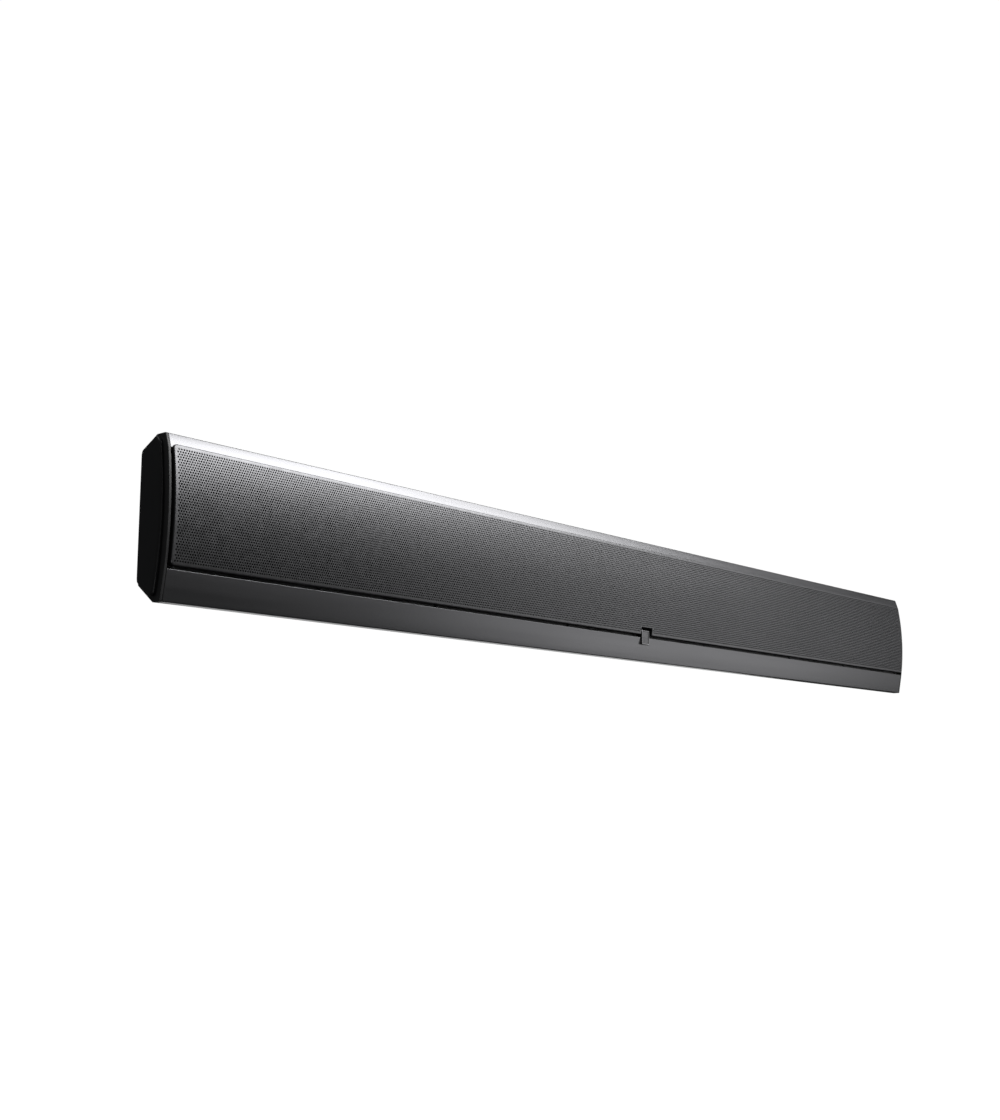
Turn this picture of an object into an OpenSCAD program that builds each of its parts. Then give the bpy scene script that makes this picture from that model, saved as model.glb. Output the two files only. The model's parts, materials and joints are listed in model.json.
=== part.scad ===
// Slim on-wall three-channel passive loudspeaker bar.
// X runs along the bar, the front faces -Y, Z is up.
// The origin is on the wall plane, at the middle of the bar.

/* [Bar] */
// Length over both end trims
bar_len = 1097; // [1090:1:1130]
// Height from the bottom flat to the top flat
bar_h = 113; // [112:0.5:115]
// Distance from the wall to the front edge of the top flat
edge_depth = 25; // [24.5:0.5:27]
// Wall thickness of the aluminium rails and of the rear panel
wall = 2.2; // [1.8:0.1:2.6]
// Gap that the wall bumpers keep between the wall and the rear panel
wall_gap = 1.2; // [1:0.1:2]
// Radius of the long outer edges of the rails
edge_r = 1; // [0.5:0.1:1.5]

/* [Front opening] */
// Height of the opening's upper edge above the middle of the bar
opening_top = 46; // [45.5:0.5:46.5]
// Height of the opening's lower edge above the middle of the bar
opening_bottom = -34.9; // [-36:0.1:-34]
// Distance from the wall to the lower edge of the opening, on the outer face
strip_depth = 28.9; // [28.6:0.1:29.2]
// Distance from the wall to the front face of the baffle
baffle_front = 24; // [24:0.1:24.4]
// Baffle thickness
baffle_t = 5; // [4.5:0.1:5]

/* [Grille] */
// Distance from the wall to the crown of the grille
grille_crown = 33.5; // [33.2:0.1:35]
// Distance from the wall to the grille face along its upper edge
grille_top_depth = 29.6; // [29.4:0.1:30]
// Distance from the wall to the grille face along its lower edge
grille_bottom_depth = 31; // [30.6:0.1:31.2]
// Height by which the grille overlaps the upper edge of the opening
grille_lap = 2.5; // [2:0.1:2.6]
// Gap between the grille and the end caps
grille_end_gap = 1.6; // [1:0.1:2]
// Gap between the grille and the lower strip
grille_under_gap = 2.3; // [2:0.1:2.6]
// Sheet thickness of the grille
grille_t = 0.8; // [0.6:0.1:1]

/* [Drivers] */
// Distance between the centres of neighbouring channels
channel_pitch = 405; // [400:1:408]
// Distance from a channel's tweeter to each of its woofers
woofer_offset = 75; // [73:1:77]
// Outside radius of a woofer frame
woofer_r = 39; // [38.5:0.5:39]
// Outside radius of a woofer's diaphragm, with its glue lip
cone_r = 25.5; // [25:0.5:25.5]
// Rise of the domed diaphragm
dome_rise = 4.2; // [3:0.1:4.5]
// Outside radius of a tweeter plate
tweeter_r = 22; // [20:0.5:24]
// Radius of a tweeter dome
tweeter_dome_r = 12.5; // [11:0.5:13]

/* [Ends] */
// Thickness of an end cap
cap_t = 2; // [1.8:0.1:2.4]
// Height that an end trim stands proud of its cap
trim_t = 2.5; // [2.4:0.1:3]
// Thickness of an end gasket
gasket_t = 0.5; // [0.4:0.1:0.8]

/* [Terminals] */
// Centre of the terminal cup along the bar
cup_x = 200; // [198:1:202]
// Distance between the columns of posts
post_pitch_x = 26; // [24:1:26]
// Distance between the two rows of posts
post_pitch_z = 20; // [20:1:22]
// Distance that a post cap can unscrew
post_travel = 3.2; // [2:0.1:3.2]

/* [Wall fixing] */
// Distance of each keyhole from the middle of the bar
keyhole_x = 270; // [268:1:272]
// Radius of the keyhole's entry hole
keyhole_r = 5; // [4.5:0.1:5.5]
// Distance of each threaded insert from the middle of the bar
insert_x = 145; // [143:1:146]

/* [Badge] */
// Width of the plain badge
badge_w = 11.8; // [10:0.1:13]
// Height of the plain badge
badge_h = 13.4; // [12:0.1:15]

/* [Hidden] */
$fn = 64;

// A corner whose half angle is above this is part of a curve and stays as it is
flat_half = 86;

// Small clearance between pieces that are fitted together
fit = 0.3;
// Amount by which a cut runs past the face it opens
over = 1;

// Section of the bar, drawn as [y, z]
half_h = bar_h / 2;
back_y = -wall_gap;
bevel_lean = 0.33;
strip_foot_y = -edge_depth;
bevel_end = [-edge_depth - bevel_lean * (half_h - opening_top), opening_top];
strip_end = [-strip_depth, opening_bottom];
top_rear = [-16, half_h];
top_front = [-edge_depth, half_h];
rear_top = [back_y, half_h - 8.5];
rear_bottom = [back_y, 12.5 - half_h];
foot_rear = [-17.5, -half_h];
foot_front = [strip_foot_y, -half_h];

// Places along the bar
shell_half = bar_len / 2 - trim_t - cap_t - gasket_t;
cap_inner_x = bar_len / 2 - trim_t - cap_t;
trim_x = bar_len / 2 - trim_t;
grille_half = cap_inner_x - grille_end_gap;
baffle_half = shell_half - fit;

// Levels measured forwards from the wall
baffle_rear = baffle_front - baffle_t;
ledge_front = baffle_rear - 1;
ledge_rear = ledge_front - 3;
ledge_h = 6.4;
chamber_w = 3.8;
chamber_h = 4;
arc_steps = 24;
inner_back = wall_gap + wall;

// Rear panel, and the lips of the rails that it is screwed to
panel_top = 39;
panel_bottom = -35;
lip_h = 6;
lip_depth = 1.5;
lip_root = 2;
seam = 0.1;
panel_head_r = 2.8;
panel_head_t = 0.9;
panel_screw_x = [-530, -318, -106, 106, 318, 530];
panel_screw_z = [panel_top - lip_h / 2, panel_bottom + lip_h / 2];

// Grille outline
grille_top = opening_top + grille_lap;
grille_bottom = opening_bottom + grille_under_gap;
grille_back = 25.6;
grille_throat = opening_top - fit;
lap_lean = bevel_lean * (grille_lap + fit);
hollow_rise = 2.9;
grille_corner_r = 3;
notch_half = badge_w / 2 + 2.7;
badge_top = -28.2;
notch_top = badge_top + 2.2;
badge_front = 29.9;
rim_setback = 2.2;

// Drivers
driver_z = (opening_top + opening_bottom) / 2;
channels = [-channel_pitch, 0, channel_pitch];
woofers = [for (c = channels) for (s = [-1, 1]) c + s * woofer_offset];
flange_t = 2.2;
flange_rear = baffle_front - flange_t;
woofer_hole_r = woofer_r - 6.5;
woofer_screw_r = woofer_r - 2.9;
basket_depth = 12.5;
motor_rear = 4;
motor_r = 22;
gap_inner_r = 14.6;
gap_outer_r = 17.4;
coil_r = 16;
coil_rear = 9.5;
dome_r = cone_r - 1.5;
cone_lip = 0.5;
roll_r = 3;
surround_t = 0.6;
surround_outer = cone_r + 2 * roll_r + 1.8;
screw_hole_r = 1.5;
screw_r = 1.4;
head_depth = 1.4;

// Terminals
cup_w = 84;
cup_h = 46;
cup_z = 4;
cup_t = 1.8;
cup_floor = 12.2;
stud_r = 2;
post_cap_r = 5.5;
posts = [for (row = [1, -1]) for (column = [-1, 0, 1])
    [cup_x + column * post_pitch_x, cup_z + row * post_pitch_z / 2]];

// Screw channels in the rails, as [y, z]
channel_spots = [[-18.6, half_h - 5.9], [-6.2, half_h - 12.3], [-6.2, 16.5 - half_h], [-18, 7.5 - half_h]];
channel_r = 3.2;
channel_hole_r = 1.45;

// Grille fixing
rib_spots = [-grille_half + 12, -255, -150, 150, 255, grille_half - 12];
peg_heights = [39.5, -28.5];
peg_r = 2;
grommet_r = 4;

// Wall fixing
keyhole_z = 9;
keyhole_slot_r = 2.7;
keyhole_rise = 10;
pocket_w = 24;
pocket_h = 30;
pocket_t = 1.5;
pocket_depth = 11;
pocket_z = keyhole_z + keyhole_rise / 2 - 1;
insert_heights = [28, -24];
insert_bore_r = 2.1;
baffle_screw_x = [-537, -405, -280, -110, 0, 110, 280, 405, 537];
partition_x = 130;
harness = [-8.5, -33];
harness_r = 2.5;
wire_r = 0.9;
baffle_screw_z = [opening_top - 3.2, opening_bottom + 3.2];
insert_r = 4.2;
insert_depth = 11;
bumper_r = 6;
bumper_spots = [[-515, 29], [515, 29], [-515, -26], [515, -26], [0, 0]];
tweeter_motor_r = 14;
tweeter_screw_r = 18.6;
post_cap_top = post_travel + 0.6;
stud_tip = post_cap_top + 1.4;
board_w = 88;
board_h = 56;
board_t = 1.6;
board_rear = inner_back + 2.6;
capacitor_r = 4.4;
spigot_depth = 4;
trim_peg_r = 1.5;
trim_pegs = [[-14, 22], [-14, -18]];
trim_corner_r = 3;
frame_rear = 25.6;
frame_front = 28;
frame_w = 2.6;
frame_top = grille_throat - grille_t - 0.2;
frame_bottom = grille_bottom + grille_t + 0.2;
frame_h = frame_top - frame_bottom;
frame_mid_z = (frame_top + frame_bottom) / 2;
frame_half = grille_half - grille_t - 0.2;
rib_w = 6;
badge_rear = 26;

function unit(v) = v / norm(v);
function at(p, i) = p[(i + len(p)) % len(p)];
function left_of(v) = [-v[1], v[0]];

// Counter-clockwise polygon p with every side moved inwards by t
function inset(p, t) = [for (i = [0 : len(p) - 1])
    let (
        a = left_of(unit(at(p, i) - at(p, i - 1))),
        b = left_of(unit(at(p, i + 1) - at(p, i)))
    )
    at(p, i) + t * (a + b) / (1 + a * b)];

// Polygon p with every true corner turned into an arc of radius r, in n steps
function rounded(p, r, n = 6) = [for (i = [0 : len(p) - 1])
    let (
        a = unit(at(p, i - 1) - at(p, i)),
        b = unit(at(p, i + 1) - at(p, i)),
        half = acos(max(-1, a * b)) / 2
    )
    each half > flat_half ? [at(p, i)] : corner_arc(at(p, i), a, b, half, r, n)];

function corner_arc(tip, a, b, half, r, n) =
    let (
        centre = tip + unit(a + b) * r / sin(half),
        from = tip + a * r / tan(half) - centre,
        to = tip + b * r / tan(half) - centre,
        start = atan2(from[1], from[0]),
        sweep = atan2(from[0] * to[1] - from[1] * to[0], from * to)
    )
    [for (k = [0 : n])
        centre + r * [cos(start + sweep * k / n), sin(start + sweep * k / n)]];

// Points on the shallow arc from a to b that bows to the front by rise
function bow(a, b, rise, n) = [for (k = [0 : n])
    let (
        s = 2 * k / n - 1,
        half = norm(b - a) / 2,
        r = (half * half + rise * rise) / (2 * rise),
        ahead = sqrt(r * r - s * s * half * half) - (r - rise)
    )
    a + (b - a) * k / n - [ahead, 0]];

// Rectangle centred on c with rounded corners
function plate(c, w, h, r, n = 6) = rounded([
    [c[0] - w / 2, c[1] - h / 2], [c[0] + w / 2, c[1] - h / 2],
    [c[0] + w / 2, c[1] + h / 2], [c[0] - w / 2, c[1] + h / 2]], r, n);

cabinet_outline = [
    strip_end, foot_front, foot_rear, rear_bottom, rear_top, top_rear, top_front, bevel_end
];
grille_rise = grille_crown - (grille_top_depth + grille_bottom_depth) / 2;
lap_back = edge_depth + bevel_lean * (half_h - grille_top) + fit;
grille_outline = concat(
    bow([-grille_top_depth, grille_top], [-grille_bottom_depth, grille_bottom], grille_rise, arc_steps),
    [[-grille_back, grille_bottom], [-grille_back, grille_throat],
        [-lap_back - lap_lean, grille_throat], [-lap_back, grille_top]]);
grille_hollow = concat(
    bow([-grille_top_depth + grille_t, grille_throat - grille_t],
        [-grille_bottom_depth + grille_t, grille_bottom + grille_t], hollow_rise, arc_steps),
    [[over - grille_back, grille_bottom + grille_t], [over - grille_back, grille_throat - grille_t]]);
rim_rise = grille_crown - rim_setback - (strip_depth - bevel_end[0]) / 2;
cap_outline = concat(
    bow(bevel_end, strip_end, rim_rise, arc_steps),
    [foot_front, foot_rear, rear_bottom, rear_top, top_rear, top_front]);

// Outline of the raised end panel, with its front edge parallel to the grille
trim_outline = concat(
    bow([-22.3, 51], [-21, -50.5], 4.4, arc_steps),
    [[-18, -53.2], [-2.6, -42.6], [-2.2, -39.5], [-2.2, 44], [-3, 47], [-16.4, 54.4], [-19.6, 54.4]]);
// Walls between the chambers, clear of the ledges and the shelf
partition_outline = [
    [-baffle_rear + 0.2, opening_bottom + ledge_h + fit], [-ledge_rear + fit, opening_bottom + ledge_h + fit],
    [-ledge_rear + fit, -51], [-inner_back - lip_depth - fit, -42.2], [-inner_back - lip_depth - fit, 46],
    [-ledge_rear + fit, 53], [-ledge_rear + fit, opening_top - ledge_h - fit],
    [-baffle_rear + 0.2, opening_top - ledge_h - fit]];

// A [y, z] outline drawn along X from x0
module along_x(x0, length) {
    translate([x0, 0, 0])
        rotate([90, 0, 90])
            linear_extrude(length)
                children();
}

// An [x, z] outline drawn along Y, between two distances from the wall
module along_y(near, far) {
    translate([0, -near, 0])
        rotate([90, 0, 0])
            linear_extrude(far - near)
                children();
}

// Turns children so that their Z axis points out of the front at [x, z]
module facing(x, z) {
    translate([x, 0, z])
        rotate([90, 0, 0])
            children();
}

// A cylinder that points out of the front, between two distances from the wall
module rod(x, z, r, near, far) {
    facing(x, z)
        translate([0, 0, near])
            cylinder(r = r, h = far - near);
}

// A cylinder along X at y, z
module bar(x0, length, y, z, r) {
    translate([x0, y, z])
        rotate([0, 90, 0])
            cylinder(r = r, h = length);
}

// Both rails and the panel between them, as one section
module shell_section() {
    difference() {
        union() {
            difference() {
                polygon(rounded(cabinet_outline, edge_r));
                polygon(inset(cabinet_outline, wall));
            }
            // Head of the top rail behind the bevel, with the upper ledge
            intersection() {
                polygon(rounded(cabinet_outline, edge_r));
                translate([-2 * edge_depth, opening_top - ledge_h])
                    square([2 * edge_depth - ledge_rear, half_h]);
            }
            // Shelf and ledge below the opening
            translate([-strip_depth + edge_r, opening_bottom - wall])
                square([strip_depth - edge_r - ledge_rear, wall]);
            translate([-ledge_front, opening_bottom - wall])
                square([ledge_front - ledge_rear, ledge_h + wall]);
            channel_bosses();
        }
        translate([-2 * edge_depth, opening_bottom])
            square([2 * edge_depth - ledge_front, opening_top - opening_bottom]);
        // Hollow chamber that lightens the head
        translate([-edge_depth, opening_top + wall])
            square([chamber_w, chamber_h]);
        for (spot = channel_spots)
            translate(spot)
                circle(r = channel_hole_r);
    }
}

// Bosses for the end cap screws, the lowest one on a web
module channel_bosses() {
    for (spot = channel_spots)
        translate(spot)
            circle(r = channel_r);
    translate([channel_spots[3][0] - wall / 2, wall / 2 - half_h])
        square([wall, channel_spots[3][1] + half_h - wall / 2 - channel_hole_r]);
}

// Section of one rail: side is 1 for the top rail and -1 for the bottom rail
module rail_section(side) {
    intersection() {
        union() {
            difference() {
                shell_section();
                translate([-inner_back, panel_bottom])
                    square([2 * inner_back, panel_top - panel_bottom]);
            }
            // Lips that the rear panel is screwed to
            for (z = [panel_top - lip_h, panel_bottom - lip_root])
                translate([-inner_back - lip_depth, z])
                    square([lip_depth, lip_h + lip_root]);
        }
        translate([-2 * edge_depth, side > 0 ? 0 : -half_h])
            square([2 * edge_depth, half_h]);
    }
}

module rail(side) {
    color("#56565a")
    difference() {
        along_x(-shell_half, 2 * shell_half)
            rail_section(side);
        // Pilot holes for the baffle screws and the panel screws
        for (x = baffle_screw_x, z = baffle_screw_z)
            rod(x, z, screw_hole_r, ledge_rear - over, ledge_front + over);
        for (x = panel_screw_x, z = panel_screw_z)
            rod(x, z, screw_hole_r, inner_back - over, inner_back + lip_depth + over);
    }
}

module top_rail() {
    rail(1);
}

module bottom_rail() {
    rail(-1);
}

module rear_panel() {
    color("#1c1c1d")
    difference() {
        along_y(wall_gap, inner_back)
            translate([-shell_half, panel_bottom + seam])
                square([2 * shell_half, panel_top - panel_bottom - 2 * seam]);
        along_y(-over, inner_back + over) {
            polygon(plate([cup_x, cup_z], cup_w + fit, cup_h + fit, 3));
            for (s = [-1, 1])
                keyhole(s * keyhole_x);
        }
        for (s = [-1, 1], z = insert_heights)
            rod(s * insert_x, z, insert_r + fit / 3, -over, inner_back + over);
        for (x = panel_screw_x, z = panel_screw_z)
            rod(x, z, screw_hole_r, -over, inner_back + over);
    }
}

// Low pan-head screws, with their heads in the gap towards the wall
module panel_screws() {
    color("#2e2e31")
    for (x = panel_screw_x, z = panel_screw_z)
        difference() {
            union() {
                rod(x, z, panel_head_r, wall_gap - panel_head_t, wall_gap);
                rod(x, z, screw_r - 0.05, wall_gap - panel_head_t / 2, inner_back + lip_depth + 0.6);
            }
            // Cross recess
            for (turn = [0, 90])
                facing(x, z)
                    rotate([0, 0, turn])
                        translate([-1.3, -0.25, 0])
                            cube([2.6, 0.5, wall_gap - panel_head_t / 3]);
        }
}

// End cap drawn for the right-hand end
module end_cap() {
    difference() {
        union() {
            along_x(cap_inner_x, cap_t)
                polygon(rounded(cap_outline, edge_r));
            // Spigot that locates the cap inside the rails
            along_x(shell_half - spigot_depth, spigot_depth + gasket_t + over / 2)
                difference() {
                    polygon(plate([-9.5, 6], 9, 62, 2));
                    polygon(plate([-9.5, 6], 5, 58, 1));
                }
        }
        for (spot = channel_spots) {
            bar(cap_inner_x - over, cap_t + 2 * over, spot[0], spot[1], screw_hole_r);
            countersink(spot, fit / 3);
        }
        for (spot = trim_pegs)
            bar(cap_inner_x - over, cap_t + 2 * over, spot[0], spot[1], trim_peg_r + fit / 3);
    }
}

// Cone of a flat screw head in the outer face of the right-hand cap
module countersink(spot, gap) {
    translate([trim_x - head_depth, spot[0], spot[1]])
        rotate([0, 90, 0])
            cylinder(r1 = screw_r + gap, r2 = screw_r + head_depth + gap, h = head_depth);
}

module left_end_cap() {
    color("#161617")
        mirror([1, 0, 0])
            end_cap();
}

module right_end_cap() {
    color("#161617")
        end_cap();
}

// Raised soft-edged panel on the right-hand cap
module end_trim() {
    difference() {
        union() {
            along_x(trim_x, trim_t * 0.55)
                polygon(rounded(trim_outline, trim_corner_r));
            // The soft edge is stepped back in two stages
            along_x(trim_x, trim_t * 0.8)
                polygon(rounded(inset(trim_outline, 0.35), trim_corner_r - 0.35));
            along_x(trim_x, trim_t)
                polygon(rounded(inset(trim_outline, 1), trim_corner_r - 1));
        }
        // Hollow back
        along_x(trim_x - over, over + trim_t / 2)
            polygon(rounded(inset(trim_outline, 2), trim_corner_r - 2));
    }
    for (spot = trim_pegs)
        bar(cap_inner_x + fit, cap_t - fit + trim_t / 2 + over / 2, spot[0], spot[1], trim_peg_r);
}

module left_end_trim() {
    color("#131314")
        mirror([1, 0, 0])
            end_trim();
}

module right_end_trim() {
    color("#131314")
        end_trim();
}

module end_gaskets() {
    color("#202022")
    for (side = [0, 1])
        mirror([side, 0, 0])
            along_x(shell_half, gasket_t)
                difference() {
                    union() {
                        difference() {
                            polygon(inset(cabinet_outline, 0.4));
                            polygon(inset(cabinet_outline, wall + 1));
                            translate([-2 * edge_depth, opening_bottom])
                                square([2 * edge_depth - ledge_front, opening_top - opening_bottom]);
                        }
                        intersection() {
                            polygon(inset(cabinet_outline, 0.4));
                            channel_bosses();
                        }
                    }
                    for (spot = channel_spots)
                        translate(spot)
                            circle(r = screw_hole_r);
                }
}

module end_cap_screws() {
    color("#9a9aa0")
    for (side = [0, 1])
        mirror([side, 0, 0])
            for (spot = channel_spots) {
                bar(shell_half - 12, 12 + gasket_t + cap_t - head_depth, spot[0], spot[1],
                    screw_r - 0.05);
                difference() {
                    countersink(spot, 0);
                    // Cross recess
                    for (turn = [0, 90])
                        translate([trim_x, spot[0], spot[1]])
                            rotate([turn, 0, 0])
                                cube([1.2, 2.6, 0.5], center = true);
                }
            }
}

module front_baffle() {
    color("#1b1b1c")
    difference() {
        along_y(baffle_rear, baffle_front)
            polygon(plate([0, driver_z], 2 * baffle_half, opening_top - opening_bottom - 2 * fit, 1));
        for (x = woofers) {
            rod(x, driver_z, woofer_hole_r + fit, baffle_rear - over, baffle_front + over);
            rod(x, driver_z, woofer_r + fit, flange_rear, baffle_front + over);
            screw_ring(x, woofer_screw_r, 4)
                rod(0, 0, screw_hole_r, baffle_rear - over, baffle_front);
        }
        for (x = channels) {
            rod(x, driver_z, tweeter_motor_r + fit, baffle_rear - over, baffle_front + over);
            rod(x, driver_z, tweeter_r + fit, flange_rear, baffle_front + over);
            screw_ring(x, tweeter_screw_r, 3)
                rod(0, 0, screw_hole_r, baffle_rear - over, baffle_front);
        }
        for (x = baffle_screw_x, z = baffle_screw_z)
            rod(x, z, screw_hole_r, baffle_rear - over, baffle_front + over);
        for (x = rib_spots, z = peg_heights)
            rod(x, z, grommet_r, baffle_rear - over, baffle_front + over);
    }
}

// Repeats children on a ring of n screws round the driver at x
module screw_ring(x, r, n) {
    for (k = [0 : n - 1])
        let (turn = 360 * (k + 0.5) / n)
            translate([x + r * cos(turn), 0, driver_z + r * sin(turn)])
                children();
}

module baffle_gasket() {
    color("#2a2a2c")
    difference() {
        along_y(ledge_front, baffle_rear)
            difference() {
                polygon(plate([0, driver_z], 2 * baffle_half, opening_top - opening_bottom - 2 * fit, 1));
                polygon(plate([0, driver_z], 2 * baffle_half - 2 * ledge_h,
                    opening_top - opening_bottom - 2 * ledge_h, 1));
            }
        for (x = baffle_screw_x, z = baffle_screw_z)
            rod(x, z, screw_hole_r, ledge_front - over, baffle_rear + over);
        for (x = rib_spots, z = peg_heights)
            rod(x, z, grommet_r, ledge_front - over, baffle_rear + over);
    }
}

module baffle_screws() {
    color("#8d8d92")
    for (x = baffle_screw_x, z = baffle_screw_z)
        screw(x, z, ledge_rear - 2, baffle_front);
}

// Pan-head screw with its head on the face at head_level
module screw(x, z, tip, head_level) {
    difference() {
        union() {
            rod(x, z, screw_r, tip, head_level + 0.5);
            rod(x, z, 2.4, head_level, head_level + 1.1);
        }
        // Cross recess
        for (turn = [0, 90])
            facing(x, z)
                rotate([0, 0, turn])
                    translate([-1.3, -0.25, head_level + 0.5])
                        cube([2.6, 0.5, 1]);
    }
}

module badge() {
    color("#8b8b8f")
    difference() {
        along_y(badge_rear, badge_front)
            polygon(plate([0, badge_top - badge_h / 2], badge_w, badge_h, 0.6));
        // Sunk panel inside the plaque's border
        along_y(badge_front - 0.4, badge_front + over)
            polygon(plate([0, badge_top - badge_h / 2], badge_w - 2.4, badge_h - 2.4, 0.6));
        // Seat on the leaning strip of the bottom rail
        along_x(-badge_w, 2 * badge_w)
            polygon([[-strip_depth - 0.05, opening_bottom + over], [-strip_depth - 0.05, opening_bottom],
                [strip_foot_y - 0.05, -half_h], [0, -half_h], [0, opening_bottom + over]]);
    }
}

module grille_mesh() {
    color("#3c3c40")
    difference() {
        intersection() {
            along_x(-grille_half, 2 * grille_half)
                polygon(grille_outline);
            along_y(0, 2 * grille_crown)
                polygon(plate([0, (grille_top + grille_bottom) / 2], 2 * grille_half,
                    grille_top - grille_bottom, grille_corner_r));
        }
        along_x(grille_t - grille_half, 2 * (grille_half - grille_t))
            polygon(grille_hollow);
        notch(0);
    }
}

// Space kept clear round the badge
module notch(margin) {
    along_y(0, 2 * grille_crown)
        translate([-notch_half - margin, grille_bottom - 10])
            square([2 * (notch_half + margin), notch_top - grille_bottom + 10 + margin]);
}

module grille_frame() {
    color("#19191a")
    difference() {
        union() {
            along_y(frame_rear, frame_front) {
                difference() {
                    polygon(plate([0, frame_mid_z], 2 * frame_half, frame_h, 2));
                    polygon(plate([0, frame_mid_z], 2 * (frame_half - frame_w), frame_h - 2 * frame_w, 2));
                }
                for (x = rib_spots)
                    translate([x - rib_w / 2, frame_mid_z - frame_h / 2 + frame_w / 2])
                        square([rib_w, frame_h - frame_w]);
            }
            for (x = rib_spots, z = peg_heights)
                rod(x, z, peg_r, baffle_rear, frame_front);
        }
        notch(grille_t);
    }
}

module grille_grommets() {
    color("#101011")
    for (x = rib_spots, z = peg_heights)
        difference() {
            rod(x, z, grommet_r, baffle_rear, baffle_front);
            rod(x, z, peg_r + 0.06, baffle_rear - over, baffle_front + over);
        }
}

// Woofer parts stand on the wall plane and point to the front
module woofer_baskets() {
    color("#2b2b2e")
    for (x = woofers)
        facing(x, driver_z)
            difference() {
                rotate_extrude()
                    polygon([
                        [woofer_r, baffle_front], [woofer_hole_r - 1.5, baffle_front],
                        [woofer_hole_r - 1.5, flange_rear + 0.6], [motor_r + 3, basket_depth + 1.6],
                        [coil_r + 3, basket_depth + 1.6], [coil_r + 3, basket_depth],
                        [motor_r + 4, basket_depth], [woofer_hole_r, flange_rear - 1],
                        [woofer_hole_r, flange_rear], [woofer_r, flange_rear]]);
                for (k = [0 : 5])
                    rotate([0, 0, 60 * k])
                        translate([motor_r + 1, -7, basket_depth + 2])
                            cube([woofer_hole_r - motor_r + 2, 14, flange_rear - basket_depth - 3.4]);
                for (k = [0 : 3])
                    rotate([0, 0, 45 + 90 * k])
                        translate([woofer_screw_r, 0, flange_rear - over])
                            cylinder(r = screw_hole_r, h = flange_t + 2 * over);
            }
}

module woofer_surround(i) {
    roll_centre = cone_r + roll_r;
    color("#141415")
    facing(woofers[i], driver_z)
        rotate_extrude()
            polygon(concat(
                [[surround_outer, baffle_front], [surround_outer, baffle_front + surround_t]],
                [for (a = [0 : 15 : 180])
                    [roll_centre + roll_r * cos(a), baffle_front + surround_t + roll_r * sin(a)]],
                [[cone_r - 1.3, baffle_front + surround_t], [cone_r - 1.3, baffle_front]],
                [for (a = [180 : -15 : 0])
                    [roll_centre + (roll_r - surround_t) * cos(a),
                        baffle_front + (roll_r - surround_t) * sin(a)]]));
}

// Height of the dome's outer skin above the lip, at radius r
function dome_at(r, edge, rise) =
    let (ball = (edge * edge + rise * rise) / (2 * rise))
    sqrt(ball * ball - r * r) - (ball - rise);

module woofer_cone(i) {
    lip = baffle_front - cone_lip;
    steps = 12;
    color("#2b2b2e")
    facing(woofers[i], driver_z) {
        rotate_extrude()
            polygon(concat(
                [[cone_r - 0.05, lip], [cone_r - 0.05, lip + cone_lip], [dome_r - 0.1, lip + cone_lip]],
                [for (k = [steps : -1 : 0])
                    [dome_r * k / steps * 0.99,
                            lip + cone_lip + dome_at(dome_r * k / steps, dome_r, dome_rise)]],
                [for (k = [0 : steps])
                    [dome_r * k / steps * 0.97, lip + dome_at(dome_r * k / steps, dome_r, dome_rise)]]));
        // Voice coil former
        translate([0, 0, coil_rear])
            difference() {
                cylinder(r = coil_r + 0.3, h = lip + dome_at(coil_r, dome_r, dome_rise) - coil_rear + 0.2);
                translate([0, 0, -over])
                    cylinder(r = coil_r - 0.3, h = 2 * baffle_front);
            }
    }
}

module woofer_motors() {
    color("#3a3a3d")
    for (x = woofers)
        facing(x, driver_z)
            rotate_extrude()
                polygon([
                    [0, motor_rear], [motor_r, motor_rear], [motor_r, basket_depth],
                    [gap_outer_r, basket_depth], [gap_outer_r, motor_rear + 2],
                    [gap_inner_r, motor_rear + 2], [gap_inner_r, basket_depth], [0, basket_depth]]);
}

module tweeter_plates() {
    color("#242426")
    for (x = channels)
        facing(x, driver_z)
            difference() {
                rotate_extrude()
                    polygon([
                        [tweeter_r, baffle_front], [tweeter_r - 3, baffle_front],
                        [tweeter_dome_r + 2.6, flange_rear + 0.8], [tweeter_dome_r + 2.6, flange_rear],
                        [tweeter_r, flange_rear]]);
                for (k = [0 : 2])
                    rotate([0, 0, 60 + 120 * k])
                        translate([tweeter_screw_r, 0, flange_rear - over])
                            cylinder(r = screw_hole_r, h = flange_t + 2 * over);
            }
}

module tweeter_domes() {
    steps = 10;
    rise = 3.6;
    color("#303033")
    for (x = channels)
        facing(x, driver_z)
            rotate_extrude()
                polygon(concat(
                    [[tweeter_dome_r + 2.4, flange_rear], [tweeter_dome_r + 2.4, flange_rear + 0.4]],
                    [for (k = [steps : -1 : 0])
                        [tweeter_dome_r * k / steps,
                            flange_rear + 0.4 + dome_at(tweeter_dome_r * k / steps, tweeter_dome_r, rise)]],
                    [for (k = [0 : steps])
                        [tweeter_dome_r * k / steps * 0.96,
                            flange_rear + dome_at(tweeter_dome_r * k / steps, tweeter_dome_r, rise)]]));
}

module tweeter_motors() {
    color("#3a3a3d")
    for (x = channels)
        facing(x, driver_z)
            rotate_extrude()
                polygon([
                    [0, 11], [tweeter_motor_r - 1, 11], [tweeter_motor_r, 12],
                    [tweeter_motor_r, flange_rear], [tweeter_dome_r, flange_rear],
                    [tweeter_dome_r, flange_rear - 1.5], [0, flange_rear - 1.5]]);
}

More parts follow.
